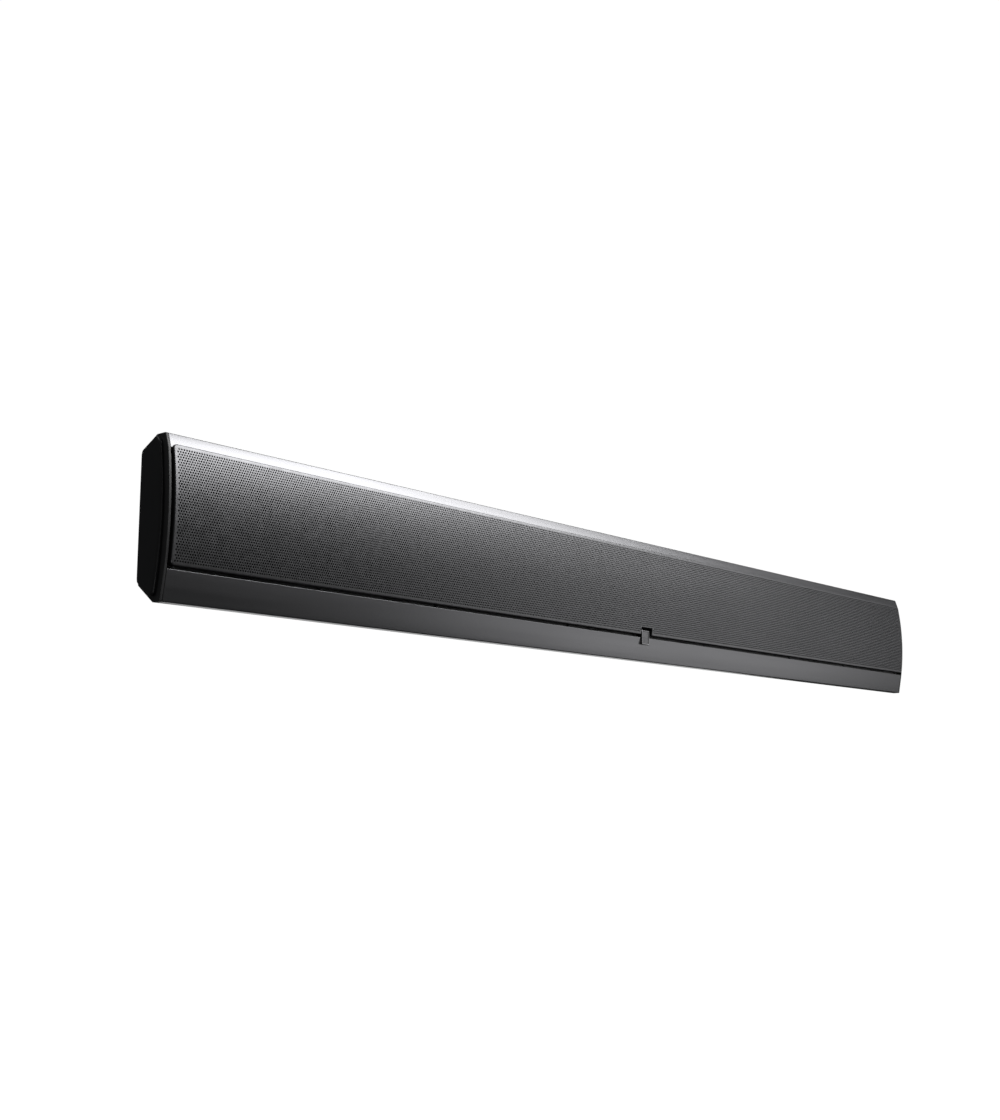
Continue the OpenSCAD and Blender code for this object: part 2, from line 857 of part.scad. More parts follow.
module driver_screws() {
    color("#8d8d92") {
        for (x = woofers)
            for (k = [0 : 3])
                let (turn = 45 + 90 * k)
                    screw(x + woofer_screw_r * cos(turn), driver_z + woofer_screw_r * sin(turn),
                        baffle_rear + 0.5, baffle_front);
        for (x = channels)
            for (k = [0 : 2])
                let (turn = 60 + 120 * k)
                    screw(x + tweeter_screw_r * cos(turn), driver_z + tweeter_screw_r * sin(turn),
                        baffle_rear + 0.5, baffle_front);
    }
}

module terminal_cup() {
    color("#1a1a1b")
    difference() {
        union() {
            along_y(wall_gap - 0.9, wall_gap)
                polygon(plate([cup_x, cup_z], cup_w + 8, cup_h + 8, 5));
            along_y(wall_gap - 0.9, cup_floor + cup_t)
                polygon(plate([cup_x, cup_z], cup_w, cup_h, 3));
        }
        along_y(-over, cup_floor)
            polygon(plate([cup_x, cup_z], cup_w - 2 * cup_t, cup_h - 2 * cup_t, 2));
        for (post = posts)
            rod(post[0], post[1], stud_r, 0, cup_floor + cup_t + over);
    }
}

module terminal_studs() {
    color("#c9b27a")
    for (post = posts) {
        rod(post[0], post[1], stud_r, stud_tip, cup_floor + cup_t);
        // Nut and solder tag inside the cabinet
        rod(post[0], post[1], 3.4, cup_floor + cup_t, cup_floor + cup_t + 1.6);
        along_y(cup_floor + cup_t + 1.6, cup_floor + cup_t + 2.2)
            translate([post[0] - 1.5, post[1]])
                square([3, 7]);
    }
}

module post_collar(i) {
    color("#c9b27a")
    difference() {
        rod(posts[i][0], posts[i][1], 4.2, cup_floor - 1, cup_floor - 0.1);
        rod(posts[i][0], posts[i][1], stud_r + 0.08, 0, cup_floor + over);
    }
}

module post_cap(i) {
    color(i < 3 ? "#b3201d" : "#151516")
    difference() {
        rod(posts[i][0], posts[i][1], post_cap_r, post_cap_top, cup_floor - 1.2);
        rod(posts[i][0], posts[i][1], stud_r + 0.08, post_cap_top + over, cup_floor);
        // Finger grooves
        for (k = [0 : 11])
            rod(posts[i][0] + (post_cap_r + 0.5) * cos(30 * k),
                posts[i][1] + (post_cap_r + 0.5) * sin(30 * k), 1, post_cap_top - over, cup_floor - 2.4);
    }
}

module crossover_board() {
    color("#1f4a33")
    difference() {
        union() {
            along_y(board_rear, board_rear + board_t)
                polygon(plate([-cup_x, cup_z], board_w, board_h, 2));
            for (x = [-1, 1], z = [-1, 1])
                rod(x * (board_w / 2 - 5) - cup_x, cup_z + z * (board_h / 2 - 5), 3, inner_back, board_rear);
        }
        for (x = [-1, 1], z = [-1, 1])
            rod(x * (board_w / 2 - 5) - cup_x, cup_z + z * (board_h / 2 - 5), screw_hole_r,
                inner_back - over, board_rear + board_t + over);
    }
}

module crossover_coils() {
    color("#a05a2c")
    for (x = [-29, 0, 29])
        facing(x - cup_x, cup_z + 13)
            rotate_extrude()
                translate([5, board_rear + board_t])
                    square([8, 8]);
}

module crossover_capacitors() {
    color("#c7a32e")
    for (x = [-29, 0, 29])
        for (z = [-10, -21])
            bar(x - cup_x - 11, 22, -board_rear - board_t - capacitor_r, cup_z + z, capacitor_r);
}

module wire_harness() {
    color("#7b1f1c") {
        bar(-woofers[5] - 15, 2 * woofers[5] + 30, harness[0], harness[1], harness_r);
        for (x = woofers)
            wire_up(x + 12, basket_depth - motor_rear + 0.2, driver_z - motor_r - 1.5, basket_depth);
        for (x = channels)
            wire_up(x, 10.6, driver_z - tweeter_motor_r, 10.6);
        // Leads to the terminal cup and the crossover
        for (x = [cup_x - post_pitch_x, cup_x, cup_x + post_pitch_x])
            wire_up(x, 10, cup_z - cup_h / 2 - 0.5, 10);
        for (x = [-cup_x - 20, -cup_x + 20])
            wire_up(x, board_rear + 0.8, cup_z - board_h / 2 - 0.2, board_rear + 0.8);
    }
}

// Lead from the harness up to height top, which then turns to the front
module wire_up(x, level, top, front) {
    translate([x, -level, harness[1]])
        cylinder(r = wire_r, h = top - harness[1]);
    if (front > level) {
        rod(x, top, wire_r, level, front);
        translate([x, -level, top])
            sphere(r = wire_r);
    }
}

module chamber_partitions() {
    color("#1e1e20")
    for (side = [-1, 1])
        along_x(side * partition_x - 1.5, 3)
            difference() {
                polygon(partition_outline);
                for (spot = channel_spots)
                    translate(spot)
                        circle(r = channel_r + fit);
                translate(harness)
                    circle(r = harness_r + fit);
            }
}

module damping_pads() {
    color("#6e6a62")
    for (x = channels)
        along_y(inner_back + 0.1, inner_back + 3.5)
            polygon(plate([x, driver_z + 2], 2 * (woofer_offset - motor_r - 5), 48, 3));
}

// Keyhole in the rear panel, its slot rising from its entry hole
module keyhole(x) {
    slot_h = keyhole_rise + keyhole_slot_r;
    translate([x, keyhole_z])
        circle(r = keyhole_r);
    polygon(plate([x, keyhole_z + slot_h / 2], 2 * keyhole_slot_r, slot_h, keyhole_slot_r - 0.2, 12));
}

// Pockets behind the keyholes, with room for the heads of the wall screws
module keyhole_pockets() {
    color("#707076")
    for (side = [-1, 1])
        translate([side * keyhole_x, 0, 0])
            difference() {
                union() {
                    along_y(inner_back, pocket_depth)
                        polygon(plate([0, pocket_z], pocket_w, pocket_h, 1));
                    along_y(inner_back, inner_back + 1.2)
                        polygon(plate([0, pocket_z], pocket_w + 7, pocket_h + 7, 2));
                }
                along_y(0, pocket_depth - pocket_t)
                    polygon(plate([0, pocket_z], pocket_w - 2 * pocket_t, pocket_h - 2 * pocket_t, 1));
            }
}

module threaded_inserts() {
    color("#b9a56a")
    for (side = [-1, 1], z = insert_heights)
        difference() {
            union() {
                rod(side * insert_x, z, insert_r, wall_gap, insert_depth);
                rod(side * insert_x, z, insert_r + 1.6, wall_gap - 0.8, wall_gap);
            }
            rod(side * insert_x, z, insert_bore_r, 0, insert_depth + over);
        }
}

module wall_bumpers() {
    color("#18181a")
    for (spot = bumper_spots)
        rod(spot[0], spot[1], bumper_r, 0, wall_gap);
}

top_rail();
bottom_rail();
rear_panel();
panel_screws();
left_end_cap();
right_end_cap();
left_end_trim();
right_end_trim();
end_gaskets();
end_cap_screws();
front_baffle();
baffle_gasket();
baffle_screws();
badge();
grille_mesh();
grille_frame();
grille_grommets();
woofer_baskets();
woofer_surround(0);  // woofer_surround_1
woofer_surround(1);  // woofer_surround_2
woofer_surround(2);  // woofer_surround_3
woofer_surround(3);  // woofer_surround_4
woofer_surround(4);  // woofer_surround_5
woofer_surround(5);  // woofer_surround_6
woofer_cone(0);  // woofer_cone_1
woofer_cone(1);  // woofer_cone_2
woofer_cone(2);  // woofer_cone_3
woofer_cone(3);  // woofer_cone_4
woofer_cone(4);  // woofer_cone_5
woofer_cone(5);  // woofer_cone_6
woofer_motors();
tweeter_plates();
tweeter_domes();
tweeter_motors();
driver_screws();
terminal_cup();
terminal_studs();
post_collar(0);  // post_collar_1
post_collar(1);  // post_collar_2
post_collar(2);  // post_collar_3
post_collar(3);  // post_collar_4
post_collar(4);  // post_collar_5
post_collar(5);  // post_collar_6
post_cap(0);  // post_cap_1
post_cap(1);  // post_cap_2
post_cap(2);  // post_cap_3
post_cap(3);  // post_cap_4
post_cap(4);  // post_cap_5
post_cap(5);  // post_cap_6
crossover_board();
crossover_coils();
crossover_capacitors();
wire_harness();
chamber_partitions();
damping_pads();
keyhole_pockets();
threaded_inserts();
wall_bumpers();
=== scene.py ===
import json
import math

import bmesh
import bpy
import numpy as np
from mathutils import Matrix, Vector, geometry


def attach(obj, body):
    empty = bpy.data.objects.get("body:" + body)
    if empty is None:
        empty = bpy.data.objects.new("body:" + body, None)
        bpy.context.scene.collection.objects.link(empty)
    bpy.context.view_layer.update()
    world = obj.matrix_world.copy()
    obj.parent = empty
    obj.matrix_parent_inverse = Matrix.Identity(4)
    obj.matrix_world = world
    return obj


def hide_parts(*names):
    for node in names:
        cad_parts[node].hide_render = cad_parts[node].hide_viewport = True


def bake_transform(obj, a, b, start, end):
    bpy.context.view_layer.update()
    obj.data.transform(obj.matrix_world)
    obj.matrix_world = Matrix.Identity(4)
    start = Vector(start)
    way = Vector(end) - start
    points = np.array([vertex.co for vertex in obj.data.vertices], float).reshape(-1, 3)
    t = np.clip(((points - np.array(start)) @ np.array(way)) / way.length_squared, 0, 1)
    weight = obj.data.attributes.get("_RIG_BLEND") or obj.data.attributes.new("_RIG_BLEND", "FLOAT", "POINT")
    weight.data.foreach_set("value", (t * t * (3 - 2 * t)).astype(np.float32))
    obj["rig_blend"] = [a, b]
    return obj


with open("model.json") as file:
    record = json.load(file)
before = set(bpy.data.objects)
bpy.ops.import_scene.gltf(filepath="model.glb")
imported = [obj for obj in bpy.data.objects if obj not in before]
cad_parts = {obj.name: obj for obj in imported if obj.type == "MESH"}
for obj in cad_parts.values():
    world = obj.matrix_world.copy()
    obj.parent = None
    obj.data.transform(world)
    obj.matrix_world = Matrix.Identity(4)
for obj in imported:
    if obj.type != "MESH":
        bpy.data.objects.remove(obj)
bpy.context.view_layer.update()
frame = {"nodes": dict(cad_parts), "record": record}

# A slim on-wall loudspeaker bar. Lengths are in millimetres until a mesh is made.
# X runs along the bar, the front faces -Y, Z is up, and y = 0 is the wall.
MM = 0.001
nodes = frame["nodes"]

# The bar's section as [y, z]
STRIP_TOP = (-28.9, -34.9)
STRIP_FOOT = (-25.0, -56.5)
FOOT_REAR = (-17.5, -56.5)
REAR_BOTTOM = (-1.2, -44.0)
REAR_TOP = (-1.2, 48.0)
TOP_REAR = (-16.0, 56.5)
TOP_FRONT = (-25.0, 56.5)
BEVEL_END = (-28.465, 46.0)
LEDGE_FRONT, LEDGE_REAR, LEDGE_H = -18.0, -15.0, 6.4
WALL = 2.2

# Lower and upper edge of the opening for the baffle, and the ends of the bar
OPENING = (-34.9, 46.0)
SHELL_HALF = 543.5
CAP_INNER, CAP_OUTER, TRIM_OUTER = 544.0, 546.0, 548.5

# Grille: depths are distances from the wall
GRILLE_HALF = 542.4
GRILLE_TOP, GRILLE_BOTTOM = 48.5, -32.6
GRILLE_TOP_Y, GRILLE_BOTTOM_Y, GRILLE_CROWN = 29.6, 31.0, 33.5
GRILLE_BACK = 25.6
RETURN_STEP_Z, RETURN_TOP, RETURN_SLOPE = 45.2, 27.94, 0.33
GRILLE_T = 0.7
GRILLE_BEND = 0.7
HALF_PITCH = 1.0555
ROW = 1.8286
HOLE_R = 0.73
HALF_COLUMNS, ROWS = 512, 42
LATTICE_Z = -30.5
NOTCH_HALF, NOTCH_TOP = 8.6, -26.0
NOTCH_COLUMN, NOTCH_ROWS = 9, 3
FIELD_EDGES = (-HALF_COLUMNS, -342, -170, 0, 170, 342, HALF_COLUMNS)

# Drivers and the baffle that carries them
DRIVER_Z = 5.55
CHANNELS = (-405.0, 0.0, 405.0)
WOOFERS = tuple(c + s * 75.0 for c in CHANNELS for s in (-1, 1))
CONE_R, ROLL_R, SURROUND_T = 25.5, 3.0, 0.6
WOOFER_R, WOOFER_HOLE, WOOFER_SCREW_R = 39.0, 32.8, 36.1
TWEETER_R, TWEETER_HOLE, TWEETER_SCREW_R = 22.0, 14.3, 18.6
DOME_R, DOME_RISE = 12.5, 3.6
FLANGE_REAR = 21.8
BAFFLE_FRONT, BAFFLE_REAR = 24.0, 19.0
RIBS = (-530.4, -255.0, -150.0, 150.0, 255.0, 530.4)
PEG_Z = (39.5, -28.5)
GROMMET_R, GROMMET_BORE = 4.0, 2.06
BAFFLE_SCREWS = [(x, z) for x in (-537, -405, -280, -110, 0, 110, 280, 405, 537) for z in (42.8, -31.7)]
BAFFLE_HEAD_R, BAFFLE_HEAD_T = 2.4, 1.1

# Back
PANEL_TOP, PANEL_BOTTOM = 39.0, -35.0
LIP_H, LIP_DEPTH, LIP_ROOT = 6.0, 1.5, 2.0
PANEL_SCREWS = [(x, z) for x in (-530, -318, -106, 106, 318, 530) for z in (36.0, -32.0)]
PANEL_SCREW_HOLE, PANEL_SCREW_TIP = 1.5, 5.5
PANEL_HEAD_R, PANEL_HEAD_T = 2.8, 0.9
CUP_X, CUP_Z, CUP_W, CUP_H = 200.0, 4.0, 84.0, 46.0
KEYHOLE_X, KEYHOLE_Z, KEYHOLE_R, KEYHOLE_SLOT_R, KEYHOLE_RISE = 270.0, 9.0, 5.0, 2.7, 10.0
INSERTS = [(x, z) for x in (-145.0, 145.0) for z in (28.0, -24.0)]
INSERT_R, INSERT_BORE, INSERT_REAR, INSERT_TIP = 4.2, 2.1, 0.4, 11.0
BUMPERS = ((-515, 29), (515, 29), (-515, -26), (515, -26), (0, 0))

# Badge
BADGE_W, BADGE_H, BADGE_Z, BADGE_REAR, BADGE_FRONT = 11.8, 13.4, -34.9, 26.0, 29.9

# ---------------------------------------------------------------- outlines


def unit(v):
    return v / np.linalg.norm(v)


def rounded(points, radius, steps=6):
    """Closed outline with every true corner turned into an arc; radius is one number or one per corner."""
    p = [np.array(q, float) for q in points]
    radii = radius if isinstance(radius, (list, tuple)) else [radius] * len(p)
    out = []
    for i, tip in enumerate(p):
        a, b = unit(p[i - 1] - tip), unit(p[(i + 1) % len(p)] - tip)
        half = math.acos(max(-1.0, min(1.0, float(a @ b)))) / 2
        if half > math.radians(86) or radii[i] <= 0:
            out.append(tip)
            continue
        centre = tip + unit(a + b) * radii[i] / math.sin(half)
        start = tip + a * radii[i] / math.tan(half) - centre
        end = tip + b * radii[i] / math.tan(half) - centre
        angle = math.atan2(start[1], start[0])
        sweep = math.atan2(start[0] * end[1] - start[1] * end[0], float(start @ end))
        turns = [angle + sweep * k / steps for k in range(steps + 1)]
        out += [centre + radii[i] * np.array([math.cos(t), math.sin(t)]) for t in turns]
    return np.array(out)


def bow(a, b, rise, steps):
    """Points on the shallow arc from a to b that bows to the front by rise."""
    a, b = np.array(a, float), np.array(b, float)
    half = np.linalg.norm(b - a) / 2
    r = (half * half + rise * rise) / (2 * rise)
    s = np.linspace(-1, 1, steps + 1)
    ahead = np.sqrt(r * r - (s * half) ** 2) - (r - rise)
    line = a + (b - a) * ((s + 1) / 2)[:, None]
    line[:, 0] -= ahead
    return line


def plate(centre, w, h, r, steps=6):
    """Rectangle with rounded corners, counter-clockwise from the lower left."""
    corners = [(-w / 2, -h / 2), (w / 2, -h / 2), (w / 2, h / 2), (-w / 2, h / 2)]
    return rounded([(centre[0] + x, centre[1] + z) for x, z in corners], r, steps)


def circle(x, z, r, n=48):
    a = np.linspace(0, 2 * math.pi, n, endpoint=False)
    return np.column_stack([x + r * np.cos(a), z + r * np.sin(a)])


def moved_in(outline, distance):
    """A smooth closed counter-clockwise outline, with each point moved inwards along its own normal."""
    ahead = np.roll(outline, -1, 0) - outline
    ahead /= np.linalg.norm(ahead, axis=1)[:, None]
    behind = np.roll(ahead, 1, 0)
    a, b = np.column_stack([-ahead[:, 1], ahead[:, 0]]), np.column_stack([-behind[:, 1], behind[:, 0]])
    return outline + distance * (a + b) / (1 + (a * b).sum(1))[:, None]


# ---------------------------------------------------------------- meshes


class Build:
    """Collects vertices in millimetres and faces, and makes one piece of them."""

    def __init__(self):
        self.verts, self.faces, self.slots, self.count = [], [], [], 0

    def points(self, xyz):
        xyz = np.asarray(xyz, float)
        self.verts.append(xyz)
        self.count += len(xyz)
        return np.arange(self.count - len(xyz), self.count)

    def face(self, ids, slot=0):
        self.faces.append([int(i) for i in ids])
        self.slots.append(slot)

    def skin(self, a, b, slot=0):
        """Quads between two closed rows of the same number of vertices."""
        for i in range(len(a)):
            j = (i + 1) % len(a)
            self.face([a[i], a[j], b[j], b[i]], slot)

    def rings(self, rings):
        """A closed surface through rings of points, with flat ends."""
        rows = [self.points(r) for r in rings]
        for a, b in zip(rows, rows[1:]):
            self.skin(a, b)
        self.face(rows[0][::-1])
        self.face(rows[-1])

    def lathe(self, profile, x, z, n=48):
        """[radius, distance from the wall] points turned round an axis along Y; a radius of 0 is a point."""
        a = np.linspace(0, 2 * math.pi, n, endpoint=False)
        last = None
        for r, y in profile:
            if r == 0:
                row = self.points([(x, -y, z)])
            else:
                row = self.points(np.column_stack([x + r * np.cos(a), np.full(n, -y), z + r * np.sin(a)]))
            if last is not None and len(row) + len(last) > 2:
                for i in range(n):
                    j = (i + 1) % n
                    if len(last) == 1:
                        self.face([last[0], row[i], row[j]])
                    elif len(row) == 1:
                        self.face([last[i], row[0], last[j]])
                    else:
                        self.face([last[i], row[i], row[j], last[j]])
            last = row

    def sheet(self, outer, holes, place, flip=False):
        """A flat face with holes; place turns [u, v] points into [x, y, z]. Returns the rows of its loops."""
        loops = [outer] + list(holes)
        flat = [Vector((float(u), float(v))) for loop in loops for u, v in loop]
        edges, first = [], 0
        for loop in loops:
            edges += [(first + k, first + (k + 1) % len(loop)) for k in range(len(loop))]
            first += len(loop)
        out, _, tris, origin, _, _ = geometry.delaunay_2d_cdt(flat, edges, [], 2, 1e-7)
        ids = self.points(place(np.array([tuple(v) for v in out])))
        holes = [np.asarray(h, float) for h in holes]
        for t in tris:
            c = np.mean([tuple(out[k]) for k in t], axis=0)
            if inside(np.asarray(outer, float), c) and not any(inside(h, c) for h in holes):
                self.face([ids[k] for k in (t[::-1] if flip else t)])
        back = {source: ids[k] for k, sources in enumerate(origin) for source in sources}
        rows, first = [], 0
        for loop in loops:
            rows.append([back[first + k] for k in range(len(loop))])
            first += len(loop)
        return rows

    def piece(self, name, materials, body, slot, replaced, smooth=35):
        """Makes the piece; one that crosses a joint has no body and is blended afterwards."""
        me = bpy.data.meshes.new(name)
        verts = np.concatenate(self.verts) * MM
        me.from_pydata([tuple(v) for v in verts], [], self.faces)
        materials = materials if isinstance(materials, (list, tuple)) else [materials]
        for m in materials:
            me.materials.append(m)
        me.polygons.foreach_set("material_index", self.slots)
        return finish_mesh(me, name, body, replaced, smooth, weld=True)


def finish_mesh(me, name, body, replaced, smooth, weld):
    """Shades the mesh and makes a piece of it that replaces a CAD node and rides a body, if it has one."""
    bm = bmesh.new()
    bm.from_mesh(me)
    if weld:
        bmesh.ops.remove_doubles(bm, verts=bm.verts, dist=1e-6)
        bmesh.ops.recalc_face_normals(bm, faces=bm.faces)
    bm.to_mesh(me)
    bm.free()
    me.polygons.foreach_set("use_smooth", [True] * len(me.polygons))
    me.set_sharp_from_angle(angle=math.radians(smooth))
    ob = bpy.data.objects.new(name, me)
    bpy.context.scene.collection.objects.link(ob)
    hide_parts(replaced)
    if body:
        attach(ob, body)
    return ob


def inside(loop, point):
    """Whether a point lies within a closed outline."""
    x, y = loop[:, 0], loop[:, 1]
    nx, ny = np.roll(x, -1), np.roll(y, -1)
    crosses = (y > point[1]) != (ny > point[1])
    with np.errstate(divide="ignore", invalid="ignore"):
        at = (nx - x) * (point[1] - y) / (ny - y) + x
    return bool((crosses & (point[0] < at)).sum() % 2)


def along_x(outline, x):
    """A [y, z] outline placed at x."""
    return np.column_stack([np.full(len(outline), x), outline[:, 0], outline[:, 1]])


def along_y(outline, distance):
    """An [x, z] outline placed at a distance from the wall."""
    return np.column_stack([outline[:, 0], np.full(len(outline), -distance), outline[:, 1]])


def edge_steps(r, n=4):
    """Insets and setbacks of a rounded edge of radius r, from the flat face outwards."""
    return [(r * (1 - math.sin(t)), r * (1 - math.cos(t))) for t in np.linspace(0, math.pi / 2, n + 1)]


# ---------------------------------------------------------------- materials


class Nodes:
    """A new material with a Principled shader, and short ways to add nodes to it. Lengths are in metres."""

    def __init__(self, name):
        self.material = bpy.data.materials.new(name)
        self.material.use_nodes = True
        self.tree = self.material.node_tree
        self.shader = next(n for n in self.tree.nodes if n.type == "BSDF_PRINCIPLED")
        self.coordinates = self.tree.nodes.new("ShaderNodeTexCoord").outputs["Object"]

    def node(self, kind, inputs=(), **settings):
        n = self.tree.nodes.new(kind)
        for key, value in settings.items():
            setattr(n, key, value)
        for key, value in dict(inputs).items():
            if isinstance(value, bpy.types.NodeSocket):
                self.tree.links.new(value, n.inputs[key])
            else:
                n.inputs[key].default_value = value
        return n

    def link(self, a, b):
        self.tree.links.new(a, self.shader.inputs[b])

    def noise(self, scale, stretch=(1, 1, 1), detail=2.0):
        placed = self.node("ShaderNodeMapping", {"Vector": self.coordinates, "Scale": stretch})
        inputs = {"Vector": placed.outputs[0], "Scale": scale, "Detail": detail}
        return self.node("ShaderNodeTexNoise", inputs).outputs["Fac"]

    def between(self, value, low, high, start=0.3, end=0.7):
        return self.node("ShaderNodeMapRange", {"Value": value, "From Min": start, "From Max": end,
                                                "To Min": low, "To Max": high}).outputs[0]

    def colours(self, value, low, high, start=0.3, end=0.7):
        ramp = self.node("ShaderNodeValToRGB", {"Fac": value})
        ramp.color_ramp.elements[0].position, ramp.color_ramp.elements[1].position = start, end
        ramp.color_ramp.elements[0].color, ramp.color_ramp.elements[1].color = (*low, 1), (*high, 1)
        return ramp.outputs[0]

    def bump(self, height, strength, distance):
        inputs = {"Height": height, "Strength": strength, "Distance": distance}
        return self.node("ShaderNodeBump", inputs).outputs[0]


def shaded(colour, amount):
    """A colour made lighter or, with a negative amount, darker."""
    return tuple(max(0.0, c * (1 + amount)) for c in colour)


def surface(name, colour, roughness, metallic=0.0, patch=14.0, vary=0.08, rough_vary=0.04, stretch=(1, 1, 1),
            grain=2200.0, depth=0.00002, strength=0.25, ior=1.5, coat=0.0, sheen=0.0):
    """Colour that drifts in broad patches, roughness that drifts with the making marks, and a fine grain."""
    n = Nodes(name)
    broad = n.noise(patch, detail=4.0)
    n.link(n.colours(broad, shaded(colour, -vary), shaded(colour, vary)), "Base Color")
    marks = n.noise(160.0, stretch, detail=3.0)
    n.link(n.between(marks, roughness - rough_vary, roughness + rough_vary), "Roughness")
    n.link(n.bump(n.noise(grain, stretch, detail=1.0), strength, depth), "Normal")
    n.shader.inputs["Metallic"].default_value = metallic
    n.shader.inputs["IOR"].default_value = ior
    n.shader.inputs["Coat Weight"].default_value = coat
    n.shader.inputs["Coat Roughness"].default_value = 0.25
    n.shader.inputs["Sheen Weight"].default_value = sheen
    return n.material


# Lines drawn along X, as an extrusion die leaves them
ALONG = (0.03, 1.0, 1.0)

shell_metal = surface("anodised_shell", (0.135, 0.135, 0.14), 0.3, 1.0, patch=5.0, vary=0.03,
                      rough_vary=0.02, stretch=ALONG, grain=2600.0, depth=0.000006, strength=0.2)
grille_paint = surface("grille_steel", (0.112, 0.112, 0.116), 0.34, 0.9, patch=8.0, vary=0.04,
                       rough_vary=0.03, grain=3000.0, depth=0.000006, strength=0.25)
black_abs = surface("black_abs", (0.016, 0.016, 0.017), 0.5, vary=0.12, rough_vary=0.04, grain=1500.0,
                    depth=0.00003, strength=0.4)
panel_paint = surface("panel_paint", (0.022, 0.022, 0.023), 0.55, vary=0.12, rough_vary=0.05, grain=1100.0,
                      depth=0.00005, strength=0.45)
cap_plastic = surface("cap_plastic", (0.014, 0.014, 0.015), 0.46, vary=0.1, grain=1900.0, depth=0.00002,
                      strength=0.35)
trim_plastic = surface("black_trim", (0.011, 0.011, 0.012), 0.4, vary=0.1, grain=2300.0, depth=0.000012,
                       strength=0.3, ior=1.42)
foam = surface("foam_seal", (0.02, 0.02, 0.021), 0.9, vary=0.25, patch=500.0, grain=900.0, depth=0.0002,
               strength=0.7)
rubber = surface("black_rubber", (0.014, 0.014, 0.014), 0.62, vary=0.15, patch=60.0, grain=1300.0,
                 depth=0.00002, strength=0.3, sheen=0.1)
zinc = surface("zinc_plate", (0.5, 0.5, 0.53), 0.34, 1.0, vary=0.12, patch=90.0, rough_vary=0.1, grain=700.0,
               depth=0.00001)
black_oxide = surface("black_screw", (0.035, 0.035, 0.038), 0.36, 0.8, vary=0.2, patch=300.0, grain=2500.0)
basket_paint = surface("basket_metal", (0.03, 0.03, 0.032), 0.42, 0.3, vary=0.1, patch=40.0, grain=1400.0,
                       depth=0.00004, strength=0.35)
dome_metal = surface("dome_metal", (0.035, 0.035, 0.038), 0.42, 0.6, vary=0.1, patch=30.0, rough_vary=0.05,
                     grain=3200.0, depth=0.000006)
badge_metal = surface("badge_metal", (0.1, 0.1, 0.104), 0.3, 1.0, vary=0.05, patch=200.0, rough_vary=0.06,
                      stretch=(0.05, 1.0, 1.0), grain=6000.0, depth=0.000008)
badge_border = surface("badge_border", (0.17, 0.17, 0.175), 0.2, 1.0, vary=0.04, patch=200.0, rough_vary=0.03,
                       grain=6000.0, depth=0.000003)
motor_steel = surface("motor_steel", (0.14, 0.14, 0.15), 0.36, 1.0, vary=0.15, patch=60.0)
brass = surface("post_brass", (0.72, 0.5, 0.2), 0.24, 1.0, vary=0.08, patch=120.0, rough_vary=0.06)
post_red = surface("post_red", (0.4, 0.012, 0.01), 0.3, vary=0.1, patch=90.0, grain=1600.0, coat=0.3)
post_black = surface("post_black", (0.014, 0.014, 0.014), 0.3, vary=0.1, patch=90.0, grain=1600.0, coat=0.3)
felt = surface("grey_felt", (0.22, 0.21, 0.19), 0.95, vary=0.3, patch=400.0, grain=600.0, depth=0.0006,
               strength=0.8, sheen=0.4)


def winding_material():
    """Enamelled wire laid turn beside turn."""
    n = Nodes("coil_copper")
    wave = {"Vector": n.coordinates, "Scale": 260.0, "Distortion": 0.6}
    turns = n.node("ShaderNodeTexWave", wave, bands_direction="Y").outputs["Fac"]
    n.link(n.colours(turns, (0.22, 0.07, 0.02), (0.55, 0.2, 0.06)), "Base Color")
    n.link(n.bump(turns, 0.7, 0.0004), "Normal")
    n.link(n.between(n.noise(90.0), 0.28, 0.4), "Roughness")
    n.shader.inputs["Metallic"].default_value = 0.6
    return n.material


def board_material():
    """Green solder mask with the tracks showing faintly through it."""
    n = Nodes("circuit_board")
    cells = {"Vector": n.coordinates, "Scale": 130.0}
    edges = n.node("ShaderNodeTexVoronoi", cells, feature="DISTANCE_TO_EDGE").outputs["Distance"]
    n.link(n.colours(edges, (0.05, 0.17, 0.08), (0.015, 0.075, 0.035), 0.05, 0.12), "Base Color")
    n.link(n.bump(edges, 0.3, 0.0001), "Normal")
    n.link(n.between(n.noise(200.0), 0.3, 0.42), "Roughness")
    return n.material


copper = winding_material()
board = board_material()
film = surface("capacitor_film", (0.62, 0.42, 0.06), 0.3, vary=0.1, patch=60.0, coat=0.4)
sleeve = surface("wire_sleeve", (0.25, 0.02, 0.02), 0.42, vary=0.12, patch=60.0)

BY_SLOT = {
    "anodised_shell": shell_metal, "panel_paint": panel_paint, "black_abs": black_abs,
    "black_trim": trim_plastic, "foam_seal": foam, "zinc_screw": zinc, "zinc_plate": zinc,
    "black_screw": black_oxide, "badge_metal": badge_metal, "grille_steel": grille_paint,
    "black_rubber": rubber, "motor_steel": motor_steel, "dome_metal": dome_metal,
    "basket_metal": basket_paint, "post_brass": brass, "post_red": post_red, "post_black": post_black,
    "circuit_board": board, "coil_copper": copper, "capacitor_film": film, "wire_sleeve": sleeve,
    "grey_felt": felt,
}
for part in frame["record"]["subparts"]:
    mesh = nodes[part["node"]].data
    mesh.materials.clear()
    mesh.materials.append(BY_SLOT[part["material_slot"]])

# ---------------------------------------------------------------- camera, light and floor


